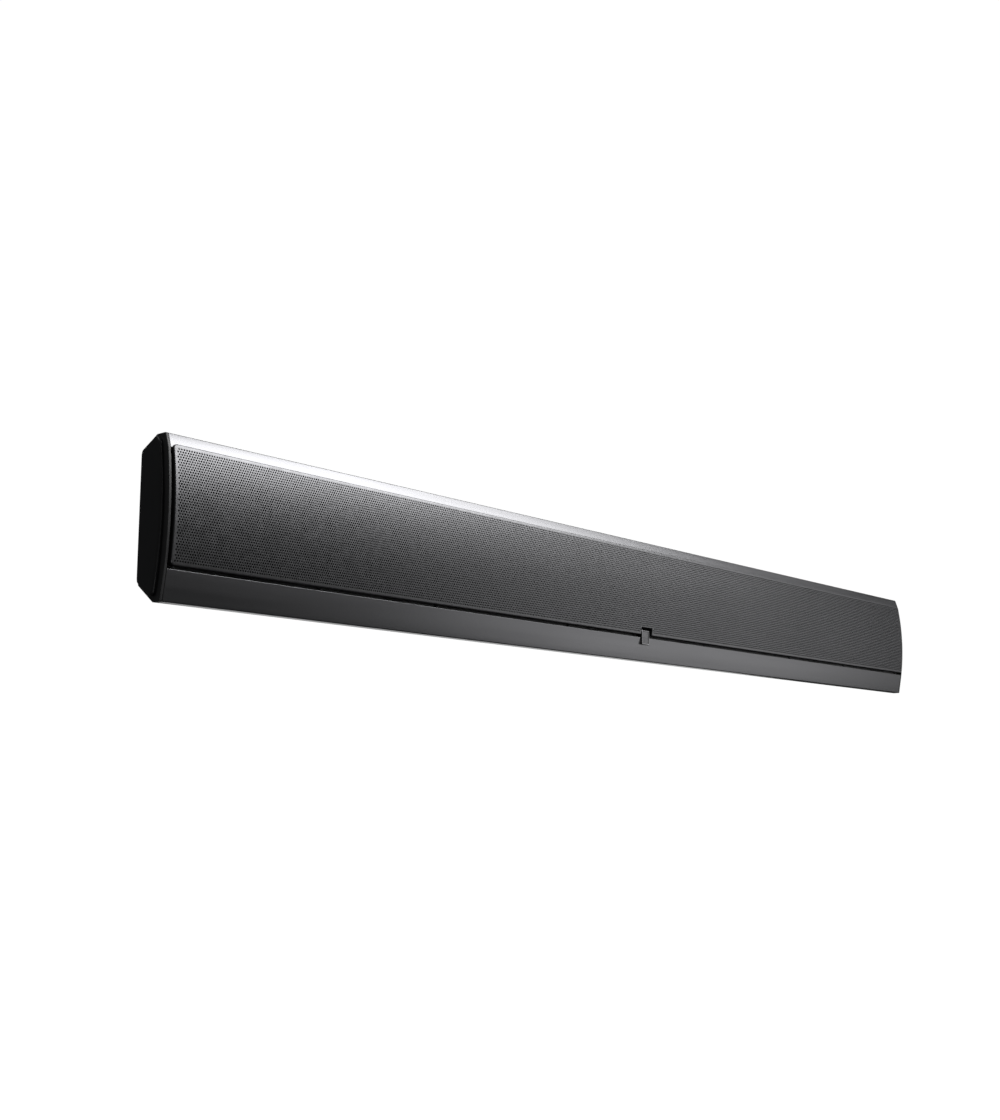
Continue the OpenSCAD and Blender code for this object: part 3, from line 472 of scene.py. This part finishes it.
def camera():
    """The photo's view, from low at the left, as fitted to the bar's straight edges. Places are in metres."""
    data = bpy.data.cameras.new("camera")
    data.lens, data.sensor_width, data.sensor_fit = 46.8, 36.0, "AUTO"
    data.clip_start, data.clip_end = 0.02, 200.0
    ob = bpy.data.objects.new("camera", data)
    ob.location = (-1.1173, -0.7973, -0.1823)
    turn, tilt = math.radians(49.78), math.radians(9.29)
    ahead = Vector((math.sin(turn) * math.cos(tilt), math.cos(turn) * math.cos(tilt), math.sin(tilt)))
    ob.rotation_mode = "QUATERNION"
    ob.rotation_quaternion = ahead.to_track_quat("-Z", "Y")
    bpy.context.scene.collection.objects.link(ob)
    bpy.context.scene.camera = ob


def softbox(name, place, target, width, height, brightness):
    """An area light that looks as bright as brightness says, whatever its size. Lengths are in metres."""
    data = bpy.data.lights.new(name, "AREA")
    data.shape, data.size, data.size_y = "RECTANGLE", width, height
    data.energy = brightness * math.pi * width * height
    ob = bpy.data.objects.new(name, data)
    ob.location = place
    ob.rotation_mode = "QUATERNION"
    ob.rotation_quaternion = (Vector(target) - Vector(place)).to_track_quat("-Z", "Y")
    bpy.context.scene.collection.objects.link(ob)


def surroundings():
    """White to look at, and dim as a source of light, as a studio with dark walls round a white sweep."""
    world = bpy.data.worlds.new("surroundings")
    world.use_nodes = True
    bpy.context.scene.world = world
    tree = world.node_tree
    tree.nodes.clear()
    seen, dim = tree.nodes.new("ShaderNodeBackground"), tree.nodes.new("ShaderNodeBackground")
    seen.inputs["Color"].default_value = (1, 1, 1, 1)
    seen.inputs["Strength"].default_value = 1.02
    dim.inputs["Color"].default_value = (0.96, 0.98, 1, 1)
    dim.inputs["Strength"].default_value = 0.055
    rays, mix = tree.nodes.new("ShaderNodeLightPath"), tree.nodes.new("ShaderNodeMixShader")
    out = tree.nodes.new("ShaderNodeOutputWorld")
    tree.links.new(rays.outputs["Is Camera Ray"], mix.inputs[0])
    tree.links.new(dim.outputs[0], mix.inputs[1])
    tree.links.new(seen.outputs[0], mix.inputs[2])
    tree.links.new(mix.outputs[0], out.inputs["Surface"])


FLOOR_Z, FLOOR_R = -620.0, 40000.0


def floor():
    """A pale floor well below the bar, brighter further out, so that it runs into the white behind."""
    rim = circle(0, 0, FLOOR_R, 96)
    points = np.column_stack([rim, np.full(len(rim), FLOOR_Z)]) * MM
    me = bpy.data.meshes.new("floor")
    me.from_pydata([tuple(v) for v in points], [], [list(range(len(rim)))])
    n = Nodes("floor_paint")
    n.shader.inputs["Base Color"].default_value = (0.82, 0.82, 0.83, 1)
    n.shader.inputs["Roughness"].default_value = 0.9
    n.shader.inputs["Specular IOR Level"].default_value = 0.0
    away = n.node("ShaderNodeVectorMath", {0: n.coordinates}, operation="LENGTH")
    n.shader.inputs["Emission Color"].default_value = (1, 1, 1, 1)
    n.link(n.between(away.outputs["Value"], 0.62, 1.02, 0.9, 2.2), "Emission Strength")
    me.materials.append(n.material)
    ob = bpy.data.objects.new("floor", me)
    ob.visible_diffuse = ob.visible_glossy = False
    bpy.context.scene.collection.objects.link(ob)


camera()
surroundings()
floor()
bpy.context.scene.view_settings.view_transform = "Standard"
softbox("key", (0.86, -1.44, 1.42), (-0.4, 0.0, 0.02), 2.0, 1.05, 8.8)
softbox("side", (1.92, -1.34, 0.05), (0.0, 0.0, 0.0), 0.95, 1.3, 1.45)
softbox("between", (1.5, -1.22, 0.72), (0.0, 0.0, 0.0), 0.8, 0.4, 2.2)
softbox("front_fill", (-0.2, -2.6, 0.9), (0.0, 0.0, 0.0), 1.6, 1.2, 0.5)
softbox("front_left", (-1.7, -1.7, -0.9), (0.0, 0.0, 0.0), 1.5, 1.0, 1.6)
softbox("back", (0.9, 2.0, 1.3), (0.0, 0.0, 0.0), 1.4, 1.2, 4.0)
softbox("back_low", (1.6, 1.6, -0.6), (0.0, 0.0, 0.0), 1.5, 1.0, 1.0)
softbox("back_left", (-1.6, 0.5, 1.7), (-0.4, 0.0, 0.0), 1.1, 1.1, 2.2)

# ---------------------------------------------------------------- shell

SLOPE_TOP = (TOP_REAR[1] - REAR_TOP[1]) / (REAR_TOP[0] - TOP_REAR[0])
SLOPE_BOTTOM = (REAR_BOTTOM[1] - FOOT_REAR[1]) / (REAR_BOTTOM[0] - FOOT_REAR[0])
STRIP_LEAN = (STRIP_FOOT[0] - STRIP_TOP[0]) / (STRIP_TOP[1] - STRIP_FOOT[1])
INNER_BACK = REAR_TOP[0] - WALL
SHELF = STRIP_TOP[1] - WALL


def under_top(y):
    """Height of the top slope's inner face."""
    return REAR_TOP[1] + (REAR_TOP[0] - y) * SLOPE_TOP - WALL * math.hypot(1, SLOPE_TOP)


def over_bottom(y):
    """Height of the bottom slope's inner face."""
    return REAR_BOTTOM[1] - (REAR_BOTTOM[0] - y) * SLOPE_BOTTOM + WALL * math.hypot(1, SLOPE_BOTTOM)


def behind_strip(z):
    """Place of the front strip's inner face."""
    return STRIP_TOP[0] + (STRIP_TOP[1] - z) * STRIP_LEAN + WALL * math.hypot(1, STRIP_LEAN)


def rail(name, corners, replaced):
    """A rail's section, soft at its outer corners, drawn out between the end gaskets in bays."""
    soft = [0.35, 1.0, 1.0, 1.0, 0.3]
    outline = rounded(corners, soft + [0] * (len(corners) - len(soft)), 5)
    b = Build()
    b.rings([along_x(outline, x) for x in np.linspace(-SHELL_HALF, SHELL_HALF, 13)])
    b.piece(name, shell_metal, "cabinet", "anodised_shell", replaced, smooth=30)


def rail_lip(edge, side):
    """The seat of the rear panel's edge and the lip it is screwed to; side is 1 at the top and -1 below."""
    lip = INNER_BACK - LIP_DEPTH
    tip, root = edge - side * LIP_H, edge + side * LIP_ROOT
    face = [(REAR_TOP[0], edge), (INNER_BACK, edge), (INNER_BACK, tip)]
    return face + [(lip, tip), (lip, root), (INNER_BACK, root)]


def ledge(edge, side):
    """The ledge that the baffle is screwed to, from its inner edge to the edge of the opening."""
    tip = edge - side * LEDGE_H
    return [(LEDGE_REAR, tip), (LEDGE_FRONT, tip), (LEDGE_FRONT, edge)]


def rails():
    """Both rails' sections as [y, z], from the front bevel or strip round the back to the ledge."""
    top = [BEVEL_END, TOP_FRONT, TOP_REAR, REAR_TOP] + rail_lip(PANEL_TOP, 1)
    top += [(y, under_top(y)) for y in (INNER_BACK, LEDGE_REAR)] + ledge(OPENING[1], 1)
    floor_z = STRIP_FOOT[1] + WALL
    floor_rear = REAR_BOTTOM[0] - (over_bottom(REAR_BOTTOM[0]) - floor_z) / SLOPE_BOTTOM
    bottom = [STRIP_TOP, STRIP_FOOT, FOOT_REAR, REAR_BOTTOM] + rail_lip(PANEL_BOTTOM, -1)
    bottom += [(INNER_BACK, over_bottom(INNER_BACK)), (floor_rear, floor_z)]
    bottom += [(behind_strip(z), z) for z in (floor_z, SHELF)] + [(LEDGE_REAR, SHELF)] + ledge(OPENING[0], -1)
    rail("top_rail_profile", top, "top_rail")
    rail("bottom_rail_profile", bottom, "bottom_rail")


def keyhole(x):
    """Entry hole with a narrower slot rising out of it, as one outline."""
    half = math.asin(KEYHOLE_SLOT_R / KEYHOLE_R)
    low = np.linspace(math.pi / 2 + half, 2.5 * math.pi - half, 40)
    high = np.linspace(0, math.pi, 20)
    slot_z = KEYHOLE_Z + KEYHOLE_RISE
    return np.concatenate([
        np.column_stack([x + KEYHOLE_R * np.cos(low), KEYHOLE_Z + KEYHOLE_R * np.sin(low)]),
        np.column_stack([x + KEYHOLE_SLOT_R * np.cos(high), slot_z + KEYHOLE_SLOT_R * np.sin(high)])])


def rear_panel():
    """The plate between the rails, with holes for the post recess, keyholes, inserts and screws."""
    b = Build()
    gap = 0.3
    outer = plate((0, (PANEL_TOP + PANEL_BOTTOM) / 2), 2 * SHELL_HALF, PANEL_TOP - PANEL_BOTTOM - 0.2, 0.1, 1)
    holes = [plate((CUP_X, CUP_Z), CUP_W + gap, CUP_H + gap, 3)] + [keyhole(s * KEYHOLE_X) for s in (-1, 1)]
    holes += [circle(x, z, INSERT_R + 0.1) for x, z in INSERTS]
    holes += [circle(x, z, PANEL_SCREW_HOLE, 24) for x, z in PANEL_SCREWS]
    rear = b.sheet(outer, holes, lambda uv: along_y(uv, -REAR_TOP[0]))
    front = b.sheet(outer, holes, lambda uv: along_y(uv, -INNER_BACK), flip=True)
    for a, c in zip(rear, front):
        b.skin(a, c)
    b.piece("rear_panel_plate", panel_paint, "cabinet", "panel_paint", "rear_panel", smooth=30)


def cap_rings():
    """[outline, distance from the bar's middle] of the end cap, whose front follows the grille's curve."""
    crown, edge_r = GRILLE_CROWN - 2.2, 0.45
    front = bow(BEVEL_END, STRIP_TOP, crown - (-STRIP_TOP[0] - BEVEL_END[0]) / 2, 32)
    cap = rounded(list(front) + [STRIP_FOOT, FOOT_REAR, REAR_BOTTOM, REAR_TOP, TOP_REAR, TOP_FRONT], 1.0, 5)
    edge = [(moved_in(cap, inset), CAP_OUTER - setback) for inset, setback in reversed(edge_steps(edge_r))]
    return [(cap, CAP_INNER)] + edge + [(moved_in(cap, 0.6), CAP_OUTER)]


def trim_rings():
    """[outline, distance from the bar's middle] of the soft-edged panel on the cap."""
    corners = list(bow([-22.3, 51], [-21, -50.5], 4.4, 32)) + [
        [-18, -53.2], [-2.6, -42.6], [-2.2, -39.5], [-2.2, 44], [-3, 47], [-16.4, 54.4], [-19.6, 54.4]]
    trim = rounded(corners, 3.0, 6)
    edge, edge_r = TRIM_OUTER - 0.12, 1.3
    soft = [(moved_in(trim, inset), edge - setback) for inset, setback in reversed(edge_steps(edge_r, 6))]
    crown = [(moved_in(trim, inset), TRIM_OUTER - fall) for inset, fall in ((1.9, 0.03), (2.3, 0), (2.6, 0))]
    return [(moved_in(trim, 0.25), CAP_OUTER), (trim, CAP_OUTER + 0.25)] + soft + crown


def end_piece(name, side, rings, material, slot, replaced, smooth):
    """A piece made of rings at the left (side -1) or right (side 1) end of the bar."""
    b = Build()
    b.rings([along_x(outline, side * x) for outline, x in rings])
    b.piece(name, material, "cabinet", slot, replaced, smooth=smooth)


def end_caps():
    for side, name in ((-1, "left"), (1, "right")):
        cap, trim = name + "_end_cap", name + "_end_trim"
        end_piece(name + "_cap_plate", side, cap_rings(), cap_plastic, "black_abs", cap, 32)
        end_piece(name + "_trim_panel", side, trim_rings(), trim_plastic, "black_trim", trim, 40)


def badge_plaque():
    """A plain plaque: polished bevelled border round a sunk satin panel."""
    b = Build()
    centre = (0.0, BADGE_Z)
    steps = [(0.0, BADGE_REAR), (0.0, BADGE_FRONT - 0.35), (0.08, BADGE_FRONT - 0.12), (0.3, BADGE_FRONT),
             (0.85, BADGE_FRONT), (1.2, BADGE_FRONT - 0.4)]
    rows = [b.points(along_y(plate(centre, BADGE_W - 2 * i, BADGE_H - 2 * i, 0.6 if i < 0.5 else 0.4, 4), y))
            for i, y in steps]
    b.face(rows[0][::-1], 1)
    for a, c in zip(rows, rows[1:]):
        b.skin(a, c, slot=1)
    b.face(rows[-1], 0)
    b.piece("badge_plaque", [badge_metal, badge_border], "cabinet", "badge_metal", "badge", smooth=20)


rails()
rear_panel()
end_caps()
badge_plaque()

# ---------------------------------------------------------------- grille

GRILLE_SPAN = GRILLE_TOP - GRILLE_BOTTOM
GRILLE_RISE = GRILLE_CROWN - (GRILLE_TOP_Y + GRILLE_BOTTOM_Y) / 2
GRILLE_HALF_CHORD = math.hypot(GRILLE_SPAN, GRILLE_BOTTOM_Y - GRILLE_TOP_Y) / 2
GRILLE_R = (GRILLE_HALF_CHORD ** 2 + GRILLE_RISE ** 2) / (2 * GRILLE_RISE)


def face_depth(z):
    """Distance from the wall to the grille's face at height z."""
    s = 2 * (GRILLE_TOP - z) / GRILLE_SPAN - 1
    line = GRILLE_TOP_Y + (GRILLE_BOTTOM_Y - GRILLE_TOP_Y) * (s + 1) / 2
    return line + np.sqrt(GRILLE_R ** 2 - (s * GRILLE_HALF_CHORD) ** 2) - (GRILLE_R - GRILLE_RISE)


def on_face(xz, behind=0.0):
    """[x, z] points put on the grille's curved face, or at a depth behind it along its normal."""
    x, z = xz[:, 0], xz[:, 1]
    slope = (face_depth(z + 0.01) - face_depth(z - 0.01)) / 0.02
    length = np.sqrt(1 + slope ** 2)
    return np.column_stack([x, -(face_depth(z) - behind / length), z + behind * slope / length])


def grid_point(i, j):
    """[x, z] of a corner of the perforation's grid at column i and row j, which may be half a row."""
    return np.column_stack([np.asarray(i, float) * HALF_PITCH, LATTICE_Z + np.asarray(j, float) * ROW])


def in_notch(i, j):
    """Whether the cell that starts at column i in row j is cut away for the badge."""
    return (j < NOTCH_ROWS) & (i > -NOTCH_COLUMN - 2) & (i < NOTCH_COLUMN)


def half_cells(j):
    """Columns where row j has a plain half cell: at the ends of odd rows, and by the notch in even ones."""
    if j % 2:
        return [-HALF_COLUMNS, HALF_COLUMNS - 1]
    return [-NOTCH_COLUMN - 1, NOTCH_COLUMN] if j < NOTCH_ROWS else []


def perforated(name, low, high):
    """The cells that start between two columns, each a staggered hole in a brick of sheet metal."""
    columns = np.arange(low, high + 2)
    rows = np.arange(ROWS + 1)
    grid = grid_point(*[g.ravel() for g in np.meshgrid(columns, rows, indexing="ij")])

    def corner(i, j):
        return (i - low) * (ROWS + 1) + j

    starts = [(i, j) for j in range(ROWS) for i in range(low + (low + j) % 2, high, 2)
              if i + 2 <= HALF_COLUMNS and not in_notch(i, j)]
    i, j = np.array(starts).T
    turn = np.radians(np.arange(8) * 45.0)
    centre = grid_point(i + 1, j + 0.5)
    rim = (centre[:, None, :] + HOLE_R * np.column_stack([np.cos(turn), np.sin(turn)])[None]).reshape(-1, 2)
    flat = np.concatenate([grid, rim])
    n = len(flat)
    r = len(grid) + 8 * np.arange(len(starts))[:, None] + np.arange(8)[None]
    bl, bm, br = corner(i, j), corner(i + 1, j), corner(i + 2, j)
    tl, tm, tr = corner(i, j + 1), corner(i + 1, j + 1), corner(i + 2, j + 1)
    quads = np.concatenate([np.column_stack(q) for q in (
        (bl, bm, r[:, 6], r[:, 5]), (bm, br, r[:, 7], r[:, 6]),
        (tr, tm, r[:, 2], r[:, 1]), (tm, tl, r[:, 3], r[:, 2]))])
    tris = np.concatenate([np.column_stack(t) for t in (
        (br, r[:, 0], r[:, 7]), (br, tr, r[:, 0]), (tr, r[:, 1], r[:, 0]),
        (tl, r[:, 4], r[:, 3]), (tl, bl, r[:, 4]), (bl, r[:, 5], r[:, 4]))])
    plain = [(corner(c, k), corner(c + 1, k), corner(c + 1, k + 1), corner(c, k + 1))
             for k in range(ROWS) for c in half_cells(k) if low <= c < high]
    if plain:
        quads = np.concatenate([quads, np.array(plain)])
    ring = np.roll(r, -1, axis=1)
    walls = np.column_stack([r.ravel(), ring.ravel(), ring.ravel() + n, r.ravel() + n])[:, ::-1]
    quads_all = np.concatenate([quads, quads[:, ::-1] + n, walls])
    tris_all = np.concatenate([tris, tris[:, ::-1] + n])
    points = np.concatenate([on_face(flat), on_face(flat, GRILLE_T)]) * MM
    used = np.zeros(len(points), bool)
    used[quads_all.ravel()] = used[tris_all.ravel()] = True
    new = np.cumsum(used) - 1
    me = bpy.data.meshes.new(name)
    me.vertices.add(int(used.sum()))
    me.vertices.foreach_set("co", points[used].ravel())
    me.loops.add(quads_all.size + tris_all.size)
    me.loops.foreach_set("vertex_index", new[np.concatenate([quads_all.ravel(), tris_all.ravel()])])
    me.polygons.add(len(quads_all) + len(tris_all))
    first = np.concatenate([4 * np.arange(len(quads_all)), quads_all.size + 3 * np.arange(len(tris_all))])
    me.polygons.foreach_set("loop_start", first)
    me.update(calc_edges=True)
    me.validate()
    me.materials.append(grille_paint)
    finish_mesh(me, name, "grille", "grille_mesh", smooth=50, weld=False)


def divided(outline, step):
    """An outline with its long straight runs cut into equal lengths of about one step."""
    out = []
    for p, q in zip(outline, np.roll(outline, -1, 0)):
        n = max(1, round(float(np.linalg.norm(q - p)) / step))
        out += [p + (q - p) * k / n for k in range(n)]
    return np.array(out)


def lattice_edge():
    """The outline of the perforated field, counter-clockwise from the lower left."""
    h, c, top = HALF_COLUMNS, NOTCH_COLUMN, NOTCH_ROWS
    walk = [(i, 0) for i in range(-h, -c)] + [(-c, j) for j in range(top)]
    walk += [(i, top) for i in range(-c, c)] + [(c, j) for j in range(top, 0, -1)]
    walk += [(i, 0) for i in range(c, h)] + [(h, j) for j in range(ROWS)]
    walk += [(i, ROWS) for i in range(h, -h, -1)] + [(-h, j) for j in range(ROWS, 0, -1)]
    i, j = np.array(walk).T
    return grid_point(i, j)


def return_depth(z):
    """Distance from the wall to the rear edge of the return wall, which steps forwards over the bevel."""
    return np.where(z < RETURN_STEP_Z, GRILLE_BACK, RETURN_TOP + RETURN_SLOPE * (GRILLE_TOP - z))


def grille_tray():
    """The plain border of the grille with its folded return walls, one sheet thick."""
    b = Build()
    corners = [(-GRILLE_HALF, GRILLE_BOTTOM), (-NOTCH_HALF, GRILLE_BOTTOM), (-NOTCH_HALF, NOTCH_TOP),
               (NOTCH_HALF, NOTCH_TOP), (NOTCH_HALF, GRILLE_BOTTOM), (GRILLE_HALF, GRILLE_BOTTOM),
               (GRILLE_HALF, GRILLE_TOP), (-GRILLE_HALF, GRILLE_TOP)]
    edge = divided(rounded(corners, [3, 1.2, 0.5, 0.5, 1.2, 3, 3, 3], 6), HALF_PITCH)
    field = [lattice_edge()]
    last, inner_front = b.sheet(moved_in(edge, GRILLE_BEND), field, on_face, flip=True)
    for inset, setback in edge_steps(GRILLE_BEND)[1:]:
        ring = moved_in(edge, inset)
        row = b.points(np.column_stack([ring[:, 0], setback - face_depth(ring[:, 1]), ring[:, 1]]))
        b.skin(last, row)
        last = row
    rear = return_depth(edge[:, 1])
    for inset in (0.0, GRILLE_T):
        ring = moved_in(edge, inset)
        row = b.points(np.column_stack([ring[:, 0], -rear, ring[:, 1]]))
        b.skin(last, row)
        last = row
    back, inner_back = b.sheet(moved_in(edge, GRILLE_T), field, lambda uv: on_face(uv, GRILLE_T))
    b.skin(last, back)
    b.skin(inner_front, inner_back)
    b.piece("grille_tray", grille_paint, "grille", "grille_steel", "grille_mesh", smooth=40)


for k, (low, high) in enumerate(zip(FIELD_EDGES, FIELD_EDGES[1:]), 1):
    perforated("grille_field_%d" % k, low, high)
grille_tray()

# ---------------------------------------------------------------- baffle and drivers


def round_driver(x, r, angles):
    """Places on a circle of radius r round a driver's axis."""
    return [(x + r * math.cos(t), DRIVER_Z + r * math.sin(t)) for t in np.radians(angles)]


def baffle():
    """The moulded panel, with a stepped seat for each driver and a hole for each peg of the grille."""
    b = Build()
    gap, edge, seat_edge = 0.3, 0.5, 0.25
    outer = plate((0, DRIVER_Z), 2 * (SHELL_HALF - gap), OPENING[1] - OPENING[0] - 2 * gap, 1.0, 4)
    seats = [(x, WOOFER_R + gap, WOOFER_HOLE) for x in WOOFERS]
    seats += [(x, TWEETER_R + gap, TWEETER_HOLE) for x in CHANNELS]
    pegs = [circle(x, z, GROMMET_R, 32) for x in RIBS for z in PEG_Z]
    wide = [circle(x, DRIVER_Z, r + seat_edge, 96) for x, r, _ in seats]
    front = b.sheet(moved_in(outer, edge), wide + pegs, lambda uv: along_y(uv, BAFFLE_FRONT), flip=True)
    narrow = [circle(x, DRIVER_Z, hole, 96) for x, _, hole in seats]
    rear = b.sheet(outer, narrow + pegs, lambda uv: along_y(uv, BAFFLE_REAR))
    rim = b.points(along_y(outer, BAFFLE_FRONT - edge))
    b.skin(front[0], rim)
    b.skin(rim, rear[0])
    for k, (x, r, hole) in enumerate(seats, 1):
        last = front[k]
        for radius, level in ((r, BAFFLE_FRONT - seat_edge), (r, FLANGE_REAR), (hole, FLANGE_REAR)):
            row = b.points(along_y(circle(x, DRIVER_Z, radius, 96), level))
            b.skin(last, row)
            last = row
        b.skin(last, rear[k])
    for a, c in zip(front[1 + len(seats):], rear[1 + len(seats):]):
        b.skin(a, c)
    b.piece("baffle_panel", black_abs, "cabinet", "black_abs", "front_baffle", smooth=30)


def surround(number, x):
    """A rubber half-roll whose outer edge stays with the cabinet while its inner edge follows the cone."""
    middle = CONE_R + ROLL_R
    outer, inner, edge = middle + ROLL_R + 1.8, CONE_R - 1.3, 0.2
    arc = np.linspace(0, math.pi, 17)
    seat = BAFFLE_FRONT + SURROUND_T
    inner_r = ROLL_R - SURROUND_T
    profile = [(outer, BAFFLE_FRONT), (outer, seat - edge), (outer - edge, seat)]
    profile += [(middle + ROLL_R * math.cos(t), seat + ROLL_R * math.sin(t)) for t in arc]
    profile += [(inner + edge, seat), (inner, seat - edge), (inner, BAFFLE_FRONT)]
    profile += [(middle + inner_r * math.cos(t), BAFFLE_FRONT + inner_r * math.sin(t)) for t in arc[::-1]]
    b = Build()
    b.lathe(profile + profile[:1], x, DRIVER_Z, 96)
    node = "woofer_surround_%d" % number
    ob = b.piece("surround_%d" % number, rubber, None, "black_rubber", node, smooth=50)
    centre = (x * MM, -BAFFLE_FRONT * MM, DRIVER_Z * MM)
    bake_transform(ob, "cabinet", "cone_%d" % number, start=(centre[0], centre[1], centre[2] + outer * MM),
             end=(centre[0], centre[1], centre[2] + CONE_R * MM))
    weights = ob.data.attributes["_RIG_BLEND"].data
    for v, w in zip(ob.data.vertices, weights):
        r = math.hypot(v.co.x - centre[0], v.co.z - centre[2]) / MM
        w.value = min(1.0, max(0.0, (middle + ROLL_R - r) / (2 * ROLL_R)))


def tweeters():
    """Face plates with a short flare, and dark domes in a small roll."""
    plates, domes = Build(), Build()
    flare = [(TWEETER_R - 3.4 - 3.3 * s, BAFFLE_FRONT - 1.5 * s ** 1.6) for s in np.linspace(0, 1, 8)]
    rim = [(TWEETER_R - 0.1, FLANGE_REAR), (TWEETER_R, FLANGE_REAR + 0.2), (TWEETER_R, BAFFLE_FRONT - 0.3),
           (TWEETER_R - 0.3, BAFFLE_FRONT)]
    throat = TWEETER_R - 6.9
    profile = rim + flare + [(throat, FLANGE_REAR + 0.45), (throat, FLANGE_REAR)]
    ball = (DOME_R ** 2 + DOME_RISE ** 2) / (2 * DOME_RISE)
    base, lip, roll_r, roll_h = FLANGE_REAR + 0.4, DOME_R + 2.4, 0.9, 0.8
    cap = [(r, base + math.sqrt(ball ** 2 - r ** 2) - (ball - DOME_RISE)) for r in np.linspace(0, DOME_R, 14)]
    roll = [(DOME_R + roll_r * (1 - math.cos(t)), base + roll_h * math.sin(t))
            for t in np.linspace(0, math.pi, 9)[1:]]
    dome = cap + roll + [(lip, base), (lip, FLANGE_REAR), (0, FLANGE_REAR)]
    for x in CHANNELS:
        plates.lathe(profile + profile[:1], x, DRIVER_Z, 96)
        domes.lathe(dome, x, DRIVER_Z, 72)
    plates.piece("tweeter_faces", trim_plastic, "cabinet", "black_trim", "tweeter_plates", smooth=30)
    domes.piece("tweeter_caps", dome_metal, "cabinet", "dome_metal", "tweeter_domes", smooth=40)


def screws(name, places, level, tip, r, height, replaced):
    """Crowned heads with a cross recess; level is where the head sits and tip where the shank ends."""
    b = Build()
    out = 1 if level > tip else -1
    arm, half, shank = 0.58 * r, 0.11 * r, 0.56
    quarter = np.array([(arm, -half), (arm, half), (half, half)])
    cross = np.concatenate([quarter @ np.linalg.matrix_power([[0, 1], [-1, 0]], k) for k in range(4)])
    crown = level + out * height
    for x, z in places:
        hole = cross + (x, z)
        ring, edge = b.sheet(circle(x, z, 0.68 * r, 24), [hole], lambda uv: along_y(uv, crown))
        for radius, rise in ((0.86, 0.9), (0.96, 0.7), (1.0, 0.45), (1.0, 0.0), (shank, 0.0)):
            row = b.points(along_y(circle(x, z, radius * r, 24), level + out * height * rise))
            b.skin(ring, row)
            ring = row
        end = b.points(along_y(circle(x, z, shank * r, 24), tip))
        b.skin(ring, end)
        b.face(end)
        low = b.points(along_y(hole, level + out * height * 0.4))
        b.skin(edge, low)
        b.face(low)
    b.piece(name, black_oxide, "cabinet", "black_screw", replaced, smooth=38)


def grommets():
    """Rubber rings in the baffle that grip the grille's pegs."""
    b = Build()
    front = [(GROMMET_BORE, BAFFLE_FRONT - 0.5), (2.5, BAFFLE_FRONT), (GROMMET_R - 0.4, BAFFLE_FRONT),
             (GROMMET_R, BAFFLE_FRONT - 0.4)]
    profile = [(GROMMET_BORE, BAFFLE_REAR)] + front + [(GROMMET_R, BAFFLE_REAR)]
    for x in RIBS:
        for z in PEG_Z:
            b.lathe(profile + profile[:1], x, z, 32)
    b.piece("peg_rings", rubber, "cabinet", "black_rubber", "grille_grommets", smooth=40)


driver_screws = [place for x in WOOFERS for place in round_driver(x, WOOFER_SCREW_R, [45, 135, 225, 315])]
driver_screws += [place for x in CHANNELS for place in round_driver(x, TWEETER_SCREW_R, [60, 180, 300])]

baffle()
for k, x in enumerate(WOOFERS, 1):
    surround(k, x)
tweeters()
screws("driver_screw_heads", driver_screws, BAFFLE_FRONT, BAFFLE_REAR + 0.5, BAFFLE_HEAD_R, BAFFLE_HEAD_T,
       "driver_screws")
screws("baffle_screw_heads", BAFFLE_SCREWS, BAFFLE_FRONT, -LEDGE_REAR - 2, BAFFLE_HEAD_R, BAFFLE_HEAD_T,
       "baffle_screws")
grommets()

# ---------------------------------------------------------------- back


def bumpers():
    """Round rubber feet against the wall, slightly dished."""
    b = Build()
    foot = [(0, 0.12), (3.4, 0.1), (4.6, 0.0), (5.5, 0.0), (5.85, 0.12), (6.0, 0.4), (6.0, 1.2), (0, 1.2)]
    for x, z in BUMPERS:
        b.lathe(foot, x, z)
    b.piece("bumper_feet", rubber, "cabinet", "black_rubber", "wall_bumpers", smooth=35)


def inserts():
    """Brass inserts with a flange and the ridges of the thread inside."""
    b = Build()
    pitch, ridge, edge, flange = 0.8, 0.3, 0.2, INSERT_R + 1.6
    crests = [INSERT_REAR + 0.6 + k * pitch for k in range(int((INSERT_TIP - INSERT_REAR - pitch) / pitch))]
    thread = [p for y in crests for p in ((INSERT_BORE, y), (INSERT_BORE + ridge, y + pitch / 2))]
    profile = [(INSERT_BORE + 0.5, INSERT_REAR)] + thread + [
        (INSERT_BORE, INSERT_TIP - 0.1), (INSERT_R - edge, INSERT_TIP), (INSERT_R, INSERT_TIP - edge),
        (INSERT_R, -REAR_TOP[0]), (flange, -REAR_TOP[0]), (flange, INSERT_REAR + edge),
        (flange - edge, INSERT_REAR)]
    for x, z in INSERTS:
        b.lathe(profile + profile[:1], x, z, 40)
    b.piece("insert_rings", brass, "cabinet", "post_brass", "threaded_inserts", smooth=30)


bumpers()
inserts()
screws("panel_screw_heads", PANEL_SCREWS, -REAR_TOP[0], PANEL_SCREW_TIP, PANEL_HEAD_R, PANEL_HEAD_T,
       "panel_screws")
